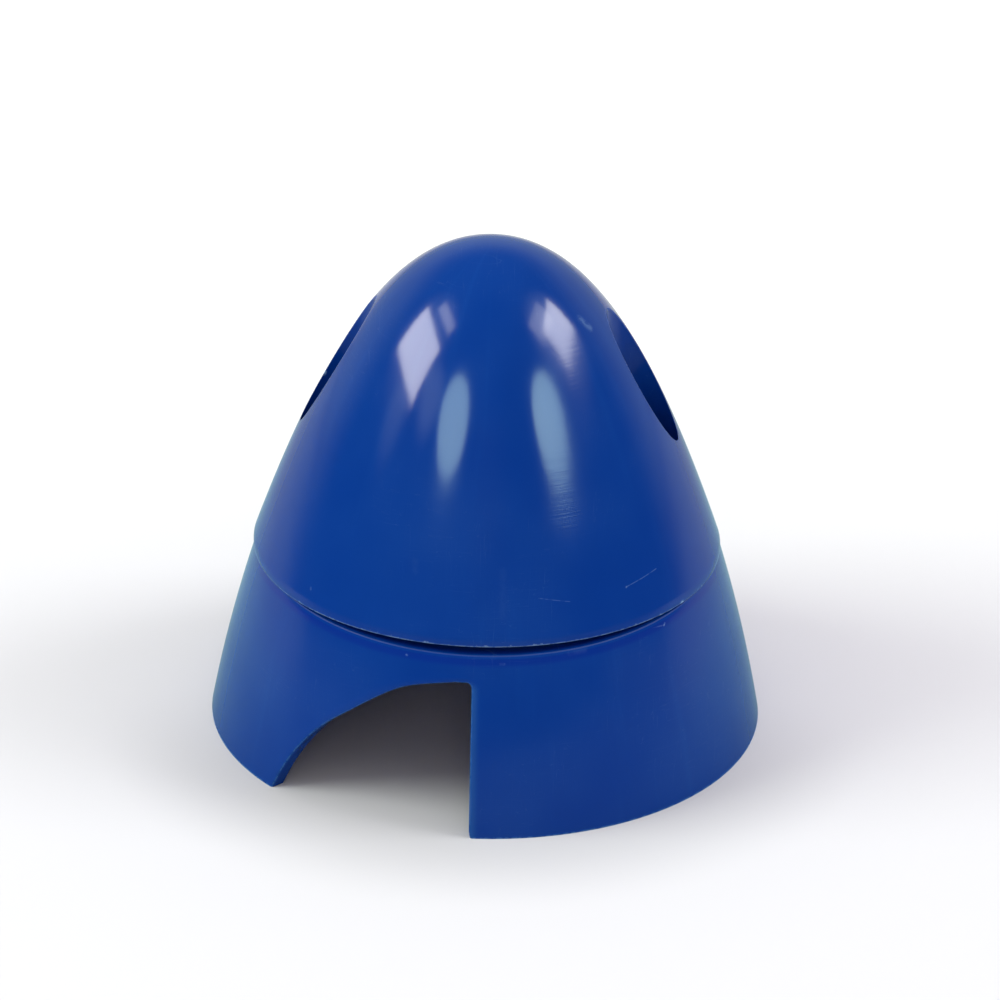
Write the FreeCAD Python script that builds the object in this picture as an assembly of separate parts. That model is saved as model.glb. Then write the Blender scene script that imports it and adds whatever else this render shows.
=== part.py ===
import FreeCAD, Part
import math
import os

Vector = FreeCAD.Vector
UP = Vector(0, 0, 1)
CENTRE = Vector(0, 0, 0)

# Sizes are millimetres and angles are degrees.
# The base rim stands on z = 0 and the nose points up +Z.
# Azimuths are measured in the XY plane from +X towards +Y.

# Outer form of the closed spinner
base_radius = 28.5
height = 52.0
joint_height = 19.0

# Skirt shell: a cone with a faint outward bulge
skirt_top_radius = 23.75
skirt_bulge = 0.3
skirt_wall = 1.4

# Worn dip of the skirt's top edge at the front, which leaves a slit under the nose rim
dip_depth = 0.85
dip_reach = 8.5

# Web across the skirt, and the spigot ring that centres the nose cone
web_drop = 1.4
web_thickness = 2.0
spigot_height = 1.8
spigot_wall = 2.0
spigot_clearance = 0.15
pocket_clearance = 0.3

# Hub that the propeller shaft passes through
hub_radius = 10.0
hub_drop = 4.6
shaft_radius = 4.0
nut_pad_height = 0.4
nut_pad_radius = 9.0

# Ribs under the web, as azimuths counted from the right-hand screw
rib_thickness = 1.2
rib_offsets = (-75.0, -38.0, 0.0, 33.0)
rib_hub_step = 0.6
rib_wall_depth = 2.2

# Blade openings: half-arch cuts through the skirt wall, open at the base rim
blade_azimuth = -115.0
opening_foot_angle = 23.5
opening_jamb_angle = 22.0
opening_margin = 0.2
shoulder_angle = 10.2
shoulder_height = 9.35
haunch_bulge = 0.77
crown_angle = 5.0
crown_drop = 0.8
crest_angle = 18.1
opening_corner_round = 0.7

# Nose cone: a convex ogive over a short straight land at the rim
rim_overhang = 0.2
rim_land = 0.5
rim_slope = 19.2
rim_handle = 24.1
tip_handle = 9.2
nose_wall = 1.7
rim_thickness = 1.55
rim_chamfer = 0.12
bore_margin = 0.3
nose_shift = 0.1

# Screw columns and the wells above them
screw_azimuth = -5.0
screw_inset = 8.5
well_radius = 3.82
column_wall = 1.3
column_floor = 4.7
column_rib_thickness = 1.2
column_rib_height = 7.0

# Self-tapping screws
screw_length = 10.0
screw_radius = 1.5
screw_tip_length = 1.5
screw_tip_radius = 0.5
head_radius = 2.8
head_side = 1.3
head_height = 2.1
recess_length = 3.2
recess_width = 0.8
recess_depth = 1.1
shank_clearance = 0.2
thread_clearance = 0.05
boss_wall = 1.85
boss_tip_cover = 1.0

# Levels and radii that follow from the sizes above
web_top = joint_height - web_drop
web_bottom = web_top - web_thickness
spigot_top = joint_height + spigot_height
rim_radius = skirt_top_radius + rim_overhang
screw_circle_radius = rim_radius - screw_inset
bore_radius = rim_radius - rim_thickness
spigot_radius = bore_radius - spigot_clearance
hub_bottom = web_bottom - hub_drop
opening_top = web_bottom - opening_margin
column_radius = well_radius + column_wall
well_floor = web_top + column_floor
pilot_radius = screw_radius + thread_clearance
boss_radius = pilot_radius + boss_wall
boss_bottom = well_floor - screw_length - boss_tip_cover
OVERRUN = 2.0


def polar(radius, azimuth, z=0.0):
    """Point at a radius and azimuth about the spinner's axis."""
    angle = math.radians(azimuth)
    return Vector(radius * math.cos(angle), radius * math.sin(angle), z)


def cylinder(radius, bottom, top, centre=CENTRE):
    """Upright cylinder between two levels."""
    return Part.makeCylinder(radius, top - bottom, Vector(centre.x, centre.y, bottom), UP)


def lines(points):
    """Straight edges from each point to the next."""
    return [Part.makeLine(a, b) for a, b in zip(points[:-1], points[1:])]


def bulged_arc(start, end, bulge, outward):
    """Arc from start to end whose middle stands off the chord by bulge, towards outward."""
    chord = end - start
    normal = chord.cross(Vector(0, 1, 0)).normalize()
    if normal.dot(outward) < 0:
        normal = normal * -1
    middle = (start + end) * 0.5 + normal * bulge
    return Part.Arc(start, middle, end).toShape()


def bezier(poles):
    """Bezier curve edge on the given poles."""
    curve = Part.BezierCurve()
    curve.setPoles(poles)
    return curve.toShape()


def revolved(edges):
    """Solid of revolution about +Z of a closed outline in the XZ plane."""
    face = Part.Face(Part.Wire(Part.__sortEdges__(edges)))
    return face.revolve(CENTRE, UP, 360)


def half_turn(shape):
    """The same shape turned by half a turn about the spinner's axis."""
    copy = shape.copy()
    copy.rotate(CENTRE, UP, 180)
    return copy


def offset_legs(poles, distance):
    """Control legs of a curve moved inwards, towards the axis, by a wall thickness."""
    legs = []
    for start, end in zip(poles[:-1], poles[1:]):
        along = (end - start).normalize()
        inward = Vector(-along.z, 0, along.x) * distance
        legs.append((start + inward, end + inward, along))
    return legs


def crossing(point_a, along_a, point_b, along_b):
    """Crossing point of two lines in the XZ plane."""
    gap = point_b - point_a
    turn = along_a.x * along_b.z - along_a.z * along_b.x
    reach = (gap.x * along_b.z - gap.z * along_b.x) / turn
    return point_a + along_a * reach


def offset_poles(poles, distance):
    """Poles of the curve that runs inside another one at an even wall thickness."""
    legs = offset_legs(poles, distance)
    inner = [legs[0][0]]
    for before, after in zip(legs[:-1], legs[1:]):
        inner.append(crossing(before[0], before[2], after[0], after[2]))
    inner.append(legs[-1][1])
    return inner


def skirt_body():
    """Skirt before it is hollowed: bulged cone, spigot ring, web top and nut pad."""
    foot = Vector(base_radius, 0, 0)
    top = Vector(skirt_top_radius, 0, joint_height)
    flank = bulged_arc(foot, top, skirt_bulge, Vector(1, 0, 0))
    ring_radius = spigot_radius - spigot_wall
    pad_top = web_top + nut_pad_height
    rest = lines([
        top,
        Vector(spigot_radius, 0, joint_height),
        Vector(spigot_radius, 0, spigot_top),
        Vector(ring_radius, 0, spigot_top),
        Vector(ring_radius, 0, web_top),
        Vector(nut_pad_radius, 0, web_top),
        Vector(nut_pad_radius, 0, pad_top),
        Vector(0, 0, pad_top),
        CENTRE,
        foot,
    ])
    return revolved([flank] + rest)


def skirt_cavity():
    """Straight-sided space inside the skirt, from below the base rim up to the web."""
    slope = (base_radius - skirt_top_radius) / joint_height
    foot_radius = base_radius - skirt_wall * math.hypot(1, slope)
    low_radius = foot_radius + slope * OVERRUN
    high_radius = foot_radius - slope * web_bottom
    depth = web_bottom + OVERRUN
    return Part.makeCone(low_radius, high_radius, depth, Vector(0, 0, -OVERRUN), UP)


def dip_tool():
    """Wedge that lowers the front of the skirt's top edge."""
    rear = dip_reach - skirt_top_radius
    slope = dip_depth / dip_reach
    front = -base_radius
    points = [
        Vector(-base_radius, rear, joint_height),
        Vector(-base_radius, front, joint_height - (rear - front) * slope),
        Vector(-base_radius, front, joint_height + OVERRUN),
        Vector(-base_radius, rear, joint_height + OVERRUN),
    ]
    face = Part.Face(Part.Wire(lines(points + points[:1])))
    wedge = face.extrude(Vector(2 * base_radius, 0, 0))
    return wedge.cut(cylinder(spigot_radius, 0, height))


def opening_outline(distance):
    """Outline of a blade opening in an upright plane at a distance from the axis.

    The same angles are used at every distance, so that the cut faces point at the axis.
    """
    def point(angle, z):
        return Vector(distance, distance * math.tan(math.radians(angle)), z)

    def flank_arc(start, end, bulge):
        scale = distance / base_radius
        chord = Vector(0, (end.y - start.y) / scale, end.z - start.z)
        normal = Vector(0, -chord.z, chord.y).normalize() * bulge
        middle = (start + end) * 0.5 + Vector(0, normal.y * scale, normal.z)
        return Part.Arc(start, middle, end).toShape()

    foot = point(-opening_foot_angle, 0)
    shoulder = point(-shoulder_angle, shoulder_height)
    crown = point(crown_angle, opening_top - crown_drop)
    crest = point(crest_angle, opening_top)
    corner_angle = math.degrees(math.atan(opening_corner_round / base_radius))
    corner_start = point(opening_jamb_angle - corner_angle, opening_top)
    corner_end = point(opening_jamb_angle, opening_top - opening_corner_round)
    corner_pole = point(opening_jamb_angle, opening_top)
    jamb_foot = point(opening_jamb_angle, -OVERRUN)
    low_foot = point(-opening_foot_angle, -OVERRUN)
    edges = [
        flank_arc(foot, shoulder, haunch_bulge),
        bezier([shoulder, crown, crown, crest]),
        Part.makeLine(crest, corner_start),
        bezier([corner_start, corner_pole, corner_end]),
    ]
    edges += lines([corner_end, jamb_foot, low_foot, foot])
    return Part.Wire(edges)


def opening_tool():
    """Cutter for the blade opening at the front, tapering towards the axis."""
    far = base_radius + OVERRUN
    near = spigot_radius - 2 * spigot_wall
    tool = Part.makeLoft([opening_outline(far), opening_outline(near)], True, True)
    tool.rotate(CENTRE, UP, blade_azimuth)
    return tool


def web_rib(azimuth):
    """Upright rib under the web, from inside the hub to beyond the skirt's inner wall."""
    points = [
        Vector(shaft_radius, 0, web_top),
        Vector(base_radius, 0, web_top),
        Vector(base_radius, 0, web_bottom - rib_wall_depth),
        Vector(skirt_top_radius - skirt_wall, 0, web_bottom - rib_wall_depth),
        Vector(hub_radius, 0, hub_bottom + rib_hub_step),
        Vector(shaft_radius, 0, hub_bottom + rib_hub_step),
    ]
    face = Part.Face(Part.Wire(lines(points + points[:1])))
    rib = face.extrude(Vector(0, rib_thickness, 0))
    rib.translate(Vector(0, -rib_thickness / 2, 0))
    rib.rotate(CENTRE, UP, azimuth)
    return rib


def blade_skirt():
    """Lower shell: hollow cone with the web, hub, spigot ring and two blade openings."""
    place = polar(screw_circle_radius, screw_azimuth)
    boss = cylinder(boss_radius, boss_bottom, web_top, place)
    kept = [cylinder(hub_radius, hub_bottom, web_top), boss, half_turn(boss)]
    for offset in rib_offsets:
        rib = web_rib(screw_azimuth + offset)
        kept += [rib, half_turn(rib)]
    hollow = skirt_cavity().cut(kept)

    pilot = cylinder(pilot_radius, boss_bottom - OVERRUN, web_top + OVERRUN, place)
    pocket = cylinder(column_radius + pocket_clearance, web_top, spigot_top + OVERRUN, place)
    opening = opening_tool()
    removed = [cylinder(shaft_radius, -OVERRUN, height), dip_tool(), hollow]
    removed += [pilot, half_turn(pilot), pocket, half_turn(pocket), opening, half_turn(opening)]
    return skirt_body().cut(removed).removeSplitter()


def nose_poles():
    """Poles of the nose's outer curve, from the rim land to the tip."""
    slope = math.radians(rim_slope)
    start = Vector(rim_radius, 0, joint_height + rim_land)
    side = start + Vector(-math.sin(slope), 0, math.cos(slope)) * rim_handle
    return [start, side, Vector(tip_handle, 0, height), Vector(0, 0, height)]


def nose_outside():
    """Solid ogive of the nose's outer form, with a small chamfer round its rim."""
    poles = nose_poles()
    outline = lines([
        poles[-1],
        Vector(0, 0, joint_height),
        Vector(rim_radius - rim_chamfer, 0, joint_height),
        Vector(rim_radius, 0, joint_height + rim_chamfer),
        poles[0],
    ])
    return revolved([bezier(poles)] + outline)


def nose_cavity():
    """Space inside the nose, with a straight bore at the rim for the spigot."""
    bore_top = spigot_top + bore_margin
    below = joint_height - OVERRUN
    inner = Part.BezierCurve()
    inner.setPoles(offset_poles(nose_poles(), nose_wall))
    low, high = 0.0, 0.5
    for _ in range(50):
        middle = (low + high) / 2
        if inner.value(middle).z < bore_top:
            low = middle
        else:
            high = middle
    inner.segment(low, 1.0)
    start = inner.value(inner.FirstParameter)
    tip = inner.value(inner.LastParameter)
    outline = lines([
        tip,
        Vector(0, 0, below),
        Vector(bore_radius, 0, below),
        Vector(bore_radius, 0, start.z),
        start,
    ])
    return revolved([inner.toShape()] + outline)


def column_rib():
    """Short rib that ties a screw column to the shell outside it."""
    rib = Part.makeBox(
        rim_radius - screw_circle_radius, column_rib_thickness, column_rib_height,
        Vector(screw_circle_radius, -column_rib_thickness / 2, spigot_top + bore_margin))
    rib.rotate(CENTRE, UP, screw_azimuth)
    return rib


def nose_cone():
    """Upper shell: hollow ogive with two screw wells sunk through it."""
    place = polar(screw_circle_radius, screw_azimuth)
    column = cylinder(column_radius, web_top, height, place)
    rib = column_rib()
    hollow = nose_cavity().cut([column, half_turn(column), rib, half_turn(rib)])
    foot = cylinder(column_radius, web_top, joint_height, place)
    cone = nose_outside().cut(hollow).fuse([foot, half_turn(foot)])

    well = cylinder(well_radius, well_floor, height + OVERRUN, place)
    hole = cylinder(screw_radius + shank_clearance, web_top - OVERRUN, well_floor + OVERRUN, place)
    cone = cone.cut([well, half_turn(well), hole, half_turn(hole)]).removeSplitter()
    cone.translate(Vector(-nose_shift, 0, 0))
    return cone


def screw():
    """Self-tapping pan-head screw with a cross recess, seated on the right-hand well floor."""
    tip = well_floor - screw_length
    shank_end = tip + screw_tip_length
    head_edge = Vector(head_radius, 0, well_floor + head_side)
    head_top = Vector(0, 0, well_floor + head_height)
    dome_middle = Vector(head_radius * 0.6, 0, well_floor + head_side + (head_height - head_side) * 0.72)
    dome = Part.Arc(head_edge, dome_middle, head_top).toShape()
    outline = lines([
        head_top,
        Vector(0, 0, tip),
        Vector(screw_tip_radius, 0, tip),
        Vector(screw_radius, 0, shank_end),
        Vector(screw_radius, 0, well_floor),
        Vector(head_radius, 0, well_floor),
        head_edge,
    ])
    body = revolved([dome] + outline)
    recess_floor = well_floor + head_height - recess_depth
    slot = Part.makeBox(
        recess_length, recess_width, recess_depth + OVERRUN,
        Vector(-recess_length / 2, -recess_width / 2, recess_floor))
    cross = slot.copy()
    cross.rotate(CENTRE, UP, 90)
    body = body.cut([slot, cross])
    body.translate(polar(screw_circle_radius, screw_azimuth))
    return body


def save(shape, node):
    """Write one node's STEP file."""
    shape.exportStep(os.path.join("parts", node + ".step"))


os.makedirs("parts", exist_ok=True)
save(blade_skirt(), "blade_skirt")
save(nose_cone(), "nose_cone")
save(screw(), "screw_right")
save(half_turn(screw()), "screw_left")
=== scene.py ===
import math

import bmesh
import bpy
import numpy as np
from bpy.props import FloatProperty, FloatVectorProperty, IntProperty, PointerProperty
from mathutils import Matrix, Vector, kdtree
from mathutils.geometry import delaunay_2d_cdt


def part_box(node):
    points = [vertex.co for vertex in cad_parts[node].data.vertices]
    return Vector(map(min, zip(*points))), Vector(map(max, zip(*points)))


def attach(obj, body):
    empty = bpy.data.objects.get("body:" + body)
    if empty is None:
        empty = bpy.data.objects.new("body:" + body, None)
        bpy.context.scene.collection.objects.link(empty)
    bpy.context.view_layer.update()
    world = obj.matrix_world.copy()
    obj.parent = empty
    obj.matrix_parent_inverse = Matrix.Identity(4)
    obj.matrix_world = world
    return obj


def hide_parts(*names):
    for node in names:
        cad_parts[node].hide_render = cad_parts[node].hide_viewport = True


bl_info = {
    "name": "Propeller Spinner",
    "version": (1, 0, 0),
    "blender": (4, 5, 0),
    "location": "3D View > Sidebar > Spinner",
    "description": "Builds a moulded two-blade propeller spinner and a studio round it",
    "category": "Object",
}

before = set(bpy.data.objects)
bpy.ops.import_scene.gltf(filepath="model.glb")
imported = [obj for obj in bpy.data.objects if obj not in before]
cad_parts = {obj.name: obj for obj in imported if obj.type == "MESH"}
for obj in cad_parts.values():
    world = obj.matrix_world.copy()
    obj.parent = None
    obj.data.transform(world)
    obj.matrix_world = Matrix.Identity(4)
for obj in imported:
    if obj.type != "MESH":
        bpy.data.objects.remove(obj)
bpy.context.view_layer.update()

MM = 0.001
FULL_TURN = 2.0 * math.pi
SAME_POINT = 0.001 * MM
SAME_TURN = 1e-9

# attributes that hold a point's distance from the nose rim, from the cut edges, from the
# upright sides of the openings and from the skirt's top edge
RIM_GAP = "rim_gap"
EDGE_GAP = "edge_gap"
JAMB_GAP = "jamb_gap"
BAND_GAP = "band_gap"

# how far the forms reach past what they cut or what cuts them
BLANK_DROP = 1.0 * MM
CUT_REACH = 2.0 * MM
BORE_REACH = 3.0 * MM
COLUMN_REACH = 4.0 * MM
CORE_INSET = 1.4 * MM
TUNNEL_END = 20.0 * MM
RIB_LIFT = 0.03 * MM
RIB_ROOT = 3.0 * MM

# rings round a well, down its wall and into the openings, and room beside an opening's outline
COLLAR_STEPS = (0.0, 0.3 * MM, 0.7 * MM, 1.2 * MM)
WELL_SHARES = (0.2, 0.4, 0.6, 0.8, 1.0)
WALL_DEPTHS = (0.7 * MM, 1.2 * MM)
OPENING_SPACE = 0.3 * MM
BORDER_SPACE = 0.35 * MM
JAMB_SLACK = 0.05 * MM

# points round the forms and along the curves, and steps in their rounds
FEWEST_ROUND_TIP = 9
CLOSEST_SHARE = 0.45
WELL_SEGMENTS = 144
COLUMN_SEGMENTS = 96
DOME_SEGMENTS = 120
DOME_ROWS = 50
CONE_SEGMENTS = 240
BOSS_SEGMENTS = 72
PILOT_SEGMENTS = 47
SCREW_SEGMENTS = 64
PROFILE_POINTS = 800
HAUNCH_POINTS = 40
CROWN_POINTS = 60
ARCH_SPACING = 0.3 * MM
RIM_STEPS = 4
CUT_STEPS = 5
CORNER_STEPS = 8
HEAD_STEPS = 8
DIP_ROUNDS = 8

# foot of an opening's upright side, as shares of its corner round
FOOT_PULL = 0.1
FOOT_FLARE = 1.2

# details of the screws: sizes, and shares of the radius that they belong to
NECK_TOP = 0.9 * MM
NECK_FOOT = 1.2 * MM
HEAD_LIP = 0.1 * MM
THREAD_END = 1.6 * MM
SLOT_HEIGHT = 4.0 * MM
POINT_SHARE = 0.3
NECK_SHARE = 0.95
SEAT_SHARE = 0.97
RIDGE_SHARE = 0.98
RIDGE_SCALE = (1.0, 0.6, 1.0)
SPIRAL_POINTS = 32
RIDGE_POINTS = 6

# noise in the surfaces: scale, detail and roughness
CLOUD = (0.07, 2.0, 0.55)
FLOW = (1.0, 3.0, 0.6)
GRAIN = (1.7, 2.0, 0.65)
RIPPLE = (1.0, 2.0, 0.6)
PEEL = (0.8, 1.0, 0.5)
SCRATCH = (1.0, 1.0, 0.4)
BRUSH = (1.0, 3.0, 0.6)
ZINC = (0.7, 3.0, 0.6)

# scratches in two directions: turn, stretch and width
STEEP_SCRATCH = ((0.3, 0.5, 0.2), (0.1, 0.1, 2.6), 0.005)
CROSS_SCRATCH = ((0.9, -0.4, 1.1), (2.2, 0.12, 0.12), 0.005)

# ramps in the plastic: from where to where, then the values there if they aren't 0 and 1
CLOUD_BLOOM = (0.3, 0.75, 0.0, 0.5)
FLOW_SEEN = (0.53, 0.75)
# the next two ramps place a band of painted shade under the skirt's top edge, where the nose rim
# overhangs it
LIP_SHADE_START = (0.25, 0.45)
LIP_SHADE_END = (0.75, 1.3, 1.0, 0.0)
# the next three ramps: grain that breaks up wear and painted highlights, the paler cut edges,
# partly wear and partly painted highlight where their rounds catch the light, and the openings'
# upright sides, painted highlight alone
WEAR_AND_HIGHLIGHT_GRAIN = (0.38, 0.56, 0.3, 1.0)
CUT_EDGE = (0.02, 0.24, 0.7, 0.0)
JAMB_HIGHLIGHT = (0.1, 1.0, 0.26, 0.0)
SCRATCHED_CLOUD = (0.5, 0.62)
FRONT_WEAR = (-15.0, -8.0, 1.0, 0.25)
RIM_WEAR = (0.07, 0.22, 1.0, 0.0)
FLECK_GRAIN = (0.61, 0.67)
FLECK_REACH = (0.18, 0.33, 1.0, 0.0)
SCUFF_REACH = (1.0, 4.0, 1.0, 0.0)
CLOUD_ROUGHNESS = (0.35, 0.75, 0.0, 0.05)
LIP_ROUGHNESS = (0.06, 0.14, 0.4, 0.0)

# shares of the plastic's second colours and of the painted shade under the skirt's top edge, rise
# of its streaks and ripples, ripples round the axis
FLOW_SHARE = 0.3
LIP_SHADE_SHARE = 0.7
SCRATCH_SHARE = 0.035
FLOW_RISE = 0.035
RIPPLE_RISE = 4.6
RIPPLE_TURNS = 1.4
TIP_RADIUS = 0.5

# whitening of the nose rim and of the skirt, and how close their flow streaks lie
NOSE_WEAR = (0.36, 7.0)
SKIRT_WEAR = (0.0, 10.0)

# relief in millimetres, and what wear adds to the roughness
PEEL_HEIGHT = 0.0012
RIPPLE_HEIGHT = 0.008
SCRATCH_DEPTH = 0.0005
RIM_HEIGHT = 0.02
MARK_HEIGHT = 0.01
BRUSH_HEIGHT = 0.004
GLOSS_ROUGHNESS = 0.1
SCRATCH_ROUGHNESS = 0.05
PALE_ROUGHNESS = 0.35
EDGE_ROUGHNESS = 0.6
SCUFF_ROUGHNESS = 0.06
STEEL_ROUGHNESS = 0.26
BRUSH_ROUGHNESS = 0.12
DULL_STEEL = (0.62, 0.6, 0.5)
DULL_PATCH = (0.4, 0.7)
DULL_ROUGHNESS = (0.35, 0.7, 0.0, 0.2)
BRUSH_ACROSS = 9.0
BRUSH_ALONG = 1.2
CREASE = 32.0

# directions of the skirt's ribs from each screw, in degrees
RIB_OFFSETS = (-75.0, -38.0, 0.0, 33.0)

# marks on the surfaces, and on the nose a painted highlight as its first entry: corners in
# millimetres, half width and strength
NOSE_MARKS_AND_GLINT = (
    # painted highlight: a soft pale-blue glint high on the nose, not a mark
    (((8.78, -5.91, 46.51), (9.79, -5.86, 45.53)), 0.6, 0.18),
    (((13.85, -17.93, 22.95), (15.43, -16.46, 23.21), (16.84, -14.85, 23.47)), 0.065, 0.22),
    (((5.12, -21.89, 23.52), (6.7, -21.58, 23.18), (8.24, -21.17, 22.84)), 0.07, 0.13),
    (((13.8, -17.95, 22.9), (13.85, -17.93, 22.95)), 0.14, 0.3),
    (((1.59, -21.42, 26.21), (1.67, -23.01, 21.96)), 0.6, 0.014),
    (((-7.07, -20.16, 26.62), (-7.05, -20.62, 25.52)), 0.5, 0.014),
    (((-17.52, -15.63, 21.04), (-17.5, -15.7, 20.9)), 0.2, 0.12),
    (((19.56, -13.63, 19.1), (19.65, -13.5, 19.1)), 0.34, 1.0),
    (((-17.0, 4.85, 35.1), (-16.9, 4.9, 35.35)), 0.24, 1.0),
)
SKIRT_MARKS = (
    (((17.84, -16.13, 18.05), (17.75, -16.3, 17.9)), 0.14, 0.6),
    (((15.3, -18.3, 18.3), (17.75, -16.3, 17.9)), 0.12, 0.2),
    (((-7.78, -22.92, 17.54), (-7.7, -22.95, 17.5)), 0.16, 0.22),
    (((1.5, -24.21, 17.34), (1.9, -24.21, 17.34)), 0.2, 0.1),
    (((8.34, -22.61, 17.89), (9.82, -21.99, 17.93)), 0.45, 0.03),
)
# lines round which the gloss is scuffed, in millimetres
NOSE_SCUFF = ((7.4, -9.0, 44.6), (7.6, -17.6, 31.0))
SKIRT_SCUFF = ((14.0, -19.9, 15.0), (20.0, -15.5, 12.0))

# lamps: name, azimuth and elevation in degrees, width and height in metres, brightness in
# the gloss and of their light, colours of both, and whether they are round
SOFT_SHINE = (1.0, 0.97, 0.95)
LAMP_SHINE = (0.66, 1.0, 0.92)
WARM_LIGHT = (0.9, 1.0, 0.88)
PLAIN_LIGHT = (0.95, 1.0, 1.0)
LAMP_LIGHT = (0.95, 0.9, 1.0)
FILL_LIGHT = (1.0, 0.91, 0.84)
LAMPS = (
    ("left_softbox", -79.0, 38.0, 0.56, 0.32, 10.4, 11.0, SOFT_SHINE, WARM_LIGHT, False),
    ("left_strip", -73.0, 55.5, 0.36, 0.1, 4.5, 4.0, SOFT_SHINE, WARM_LIGHT, False),
    ("right_softbox", 89.0, 41.5, 0.42, 0.3, 9.8, 8.3, SOFT_SHINE, PLAIN_LIGHT, False),
    ("right_strip", 77.0, 52.0, 0.34, 0.2, 3.2, 3.0, SOFT_SHINE, PLAIN_LIGHT, False),
    ("left_lamp", -27.0, 33.0, 0.324, 0.353, 6.2, 1.0, LAMP_SHINE, LAMP_LIGHT, True),
    ("right_lamp", 46.5, 30.0, 0.36, 0.37, 7.1, 1.0, LAMP_SHINE, LAMP_LIGHT, True),
    ("fill", 0.0, 26.0, 0.3, 0.3, 0.0, 2.2, SOFT_SHINE, FILL_LIGHT, False),
)
LAMP_CENTRE = (0.0, 0.0, 0.02)
# soft glows round the lamps: azimuth, elevation, inner and outer angle, strength
GLOWS = (
    (-49.0, 33.0, 2.0, 10.0, 1.2),
    (-72.0, 23.0, 2.0, 9.0, 0.6),
    (-80.0, 42.0, 8.0, 25.0, 0.6),
    (84.0, 43.0, 8.0, 24.0, 0.9),
)

# floor: half its width in metres, and distances in millimetres between which its colour changes,
# with a painted contact shadow round the spinner's front and painted light that brightens it
# towards the back
FLOOR_REACH = 1.5
FAR_FLOOR = (5.0, 140.0)
CONTACT_SHADOW_REACH = (29.0, 43.0)
CONTACT_SHADOW_DEPTH = (-22.0, 4.0)
NEAR_MIRRORED = (45.0, 130.0)
FRONT_MIRRORED = (-40.0, 10.0)
SIDE_MIRRORED = (120.0, 450.0)
SIDE_SHARE = (0.1, 0.62)
BACK_MIRRORED = (40.0, 110.0)
BACK_SPREAD = 1.2

# surroundings in the gloss: colour, strength at the horizon and behind, and in which directions
GLOSSY_SKY = (0.82, 1.0, 1.0)
HORIZON_SHINE = 0.045
BACK_SHINE = 0.43
BEHIND = (0.1, 0.62)
UPWARDS = (0.35, 0.8)
TOP_SHINE = 0.12

# camera: place in millimetres, turns in degrees, and its lens
CAMERA_PLACE = (1.170, -432.885, 233.740)
CAMERA_TILT = 64.1
CAMERA_ROLL = 1.028
CAMERA_LENS = 169.2
SENSOR_WIDTH = 36.0

skirt_low, skirt_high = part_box("blade_skirt")
nose_low, nose_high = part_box("nose_cone")


def placed(name, data):
    """New object in the scene."""
    holder = bpy.data.objects.new(name, data)
    bpy.context.scene.collection.objects.link(holder)
    return holder


def length(label, millimetres, note):
    """Property for a size in metres, given here in millimetres."""
    return FloatProperty(
        name=label, description=note, default=millimetres * MM, unit="LENGTH", precision=5)


def angle(label, degrees, note):
    """Property for an angle in radians, given here in degrees."""
    return FloatProperty(
        name=label, description=note, default=math.radians(degrees), unit="ROTATION")


def colour(label, rgb, note):
    """Property for a colour."""
    return FloatVectorProperty(
        name=label, description=note, default=rgb, size=3, min=0.0, max=1.0, subtype="COLOR")


def amount(label, value, note):
    """Property for a plain number."""
    return FloatProperty(name=label, description=note, default=value)


class SpinnerForm(bpy.types.PropertyGroup):
    """Sizes that both shells share."""

    base_radius: length(
        "Base radius", (skirt_high.x - skirt_low.x) / 2 / MM, "Outer radius of the base rim")
    height: length("Height", nose_high.z / MM, "From the base rim to the nose tip")
    joint_height: length("Joint height", 19.0, "Level of the rim where the nose meets the skirt")
    rim_radius: length(
        "Rim radius", (nose_high.x - nose_low.x) / 2 / MM, "Outer radius of the nose at its rim")
    rim_thickness: length("Rim thickness", 1.55, "Wall of the nose at its rim")
    web_drop: length("Web drop", 1.4, "From the joint down to the top of the web")
    web_thickness: length("Web thickness", 2.0, "Thickness of the web across the skirt")
    spigot_height: length("Spigot height", 1.8, "Height of the centring ring above the joint")
    screw_azimuth: angle("Screw azimuth", -5.0, "Direction of the right-hand screw")
    screw_circle: length("Screw circle", 15.45, "Distance of the screws from the axis")
    column_radius: length("Column radius", 5.12, "Outer radius of the columns under the wells")
    edge_round: length("Edge round", 0.09, "Width of the round on the cut edges")
    segments: IntProperty(name="Segments", description="Points round each shell", default=288)


class NoseForm(bpy.types.PropertyGroup):
    """Sizes of the nose cone."""

    rim_land: length("Rim land", 0.5, "Straight band above the rim")
    rim_slope: angle("Rim slope", 19.2, "Lean of the wall above the land")
    rim_handle: length("Rim handle", 24.1, "Pull of the outer curve at the rim")
    tip_handle: length("Tip handle", 9.2, "Pull of the outer curve at the tip")
    rim_round: length("Rim round", 0.14, "Round on the rim's lower outer edge")
    wall: length("Wall", 1.7, "Wall of the nose")
    bore_top: length("Bore top", 21.1, "Level of the top of the straight bore")
    well_radius: length("Well radius", 3.82, "Radius of the screw wells")
    well_floor: length("Well floor", 22.3, "Level that the screw heads sit on")
    hole_radius: length("Hole radius", 1.7, "Clearance hole for the screw")
    rib_thickness: length("Rib thickness", 1.2, "Rib between a column and the shell")
    rib_height: length("Rib height", 7.0, "Height of that rib")
    shift: length("Shift", 0.1, "How far the nose sits off centre towards -X")
    step: length("Step", 0.55, "Spacing of the points on the outer surface")


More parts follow.
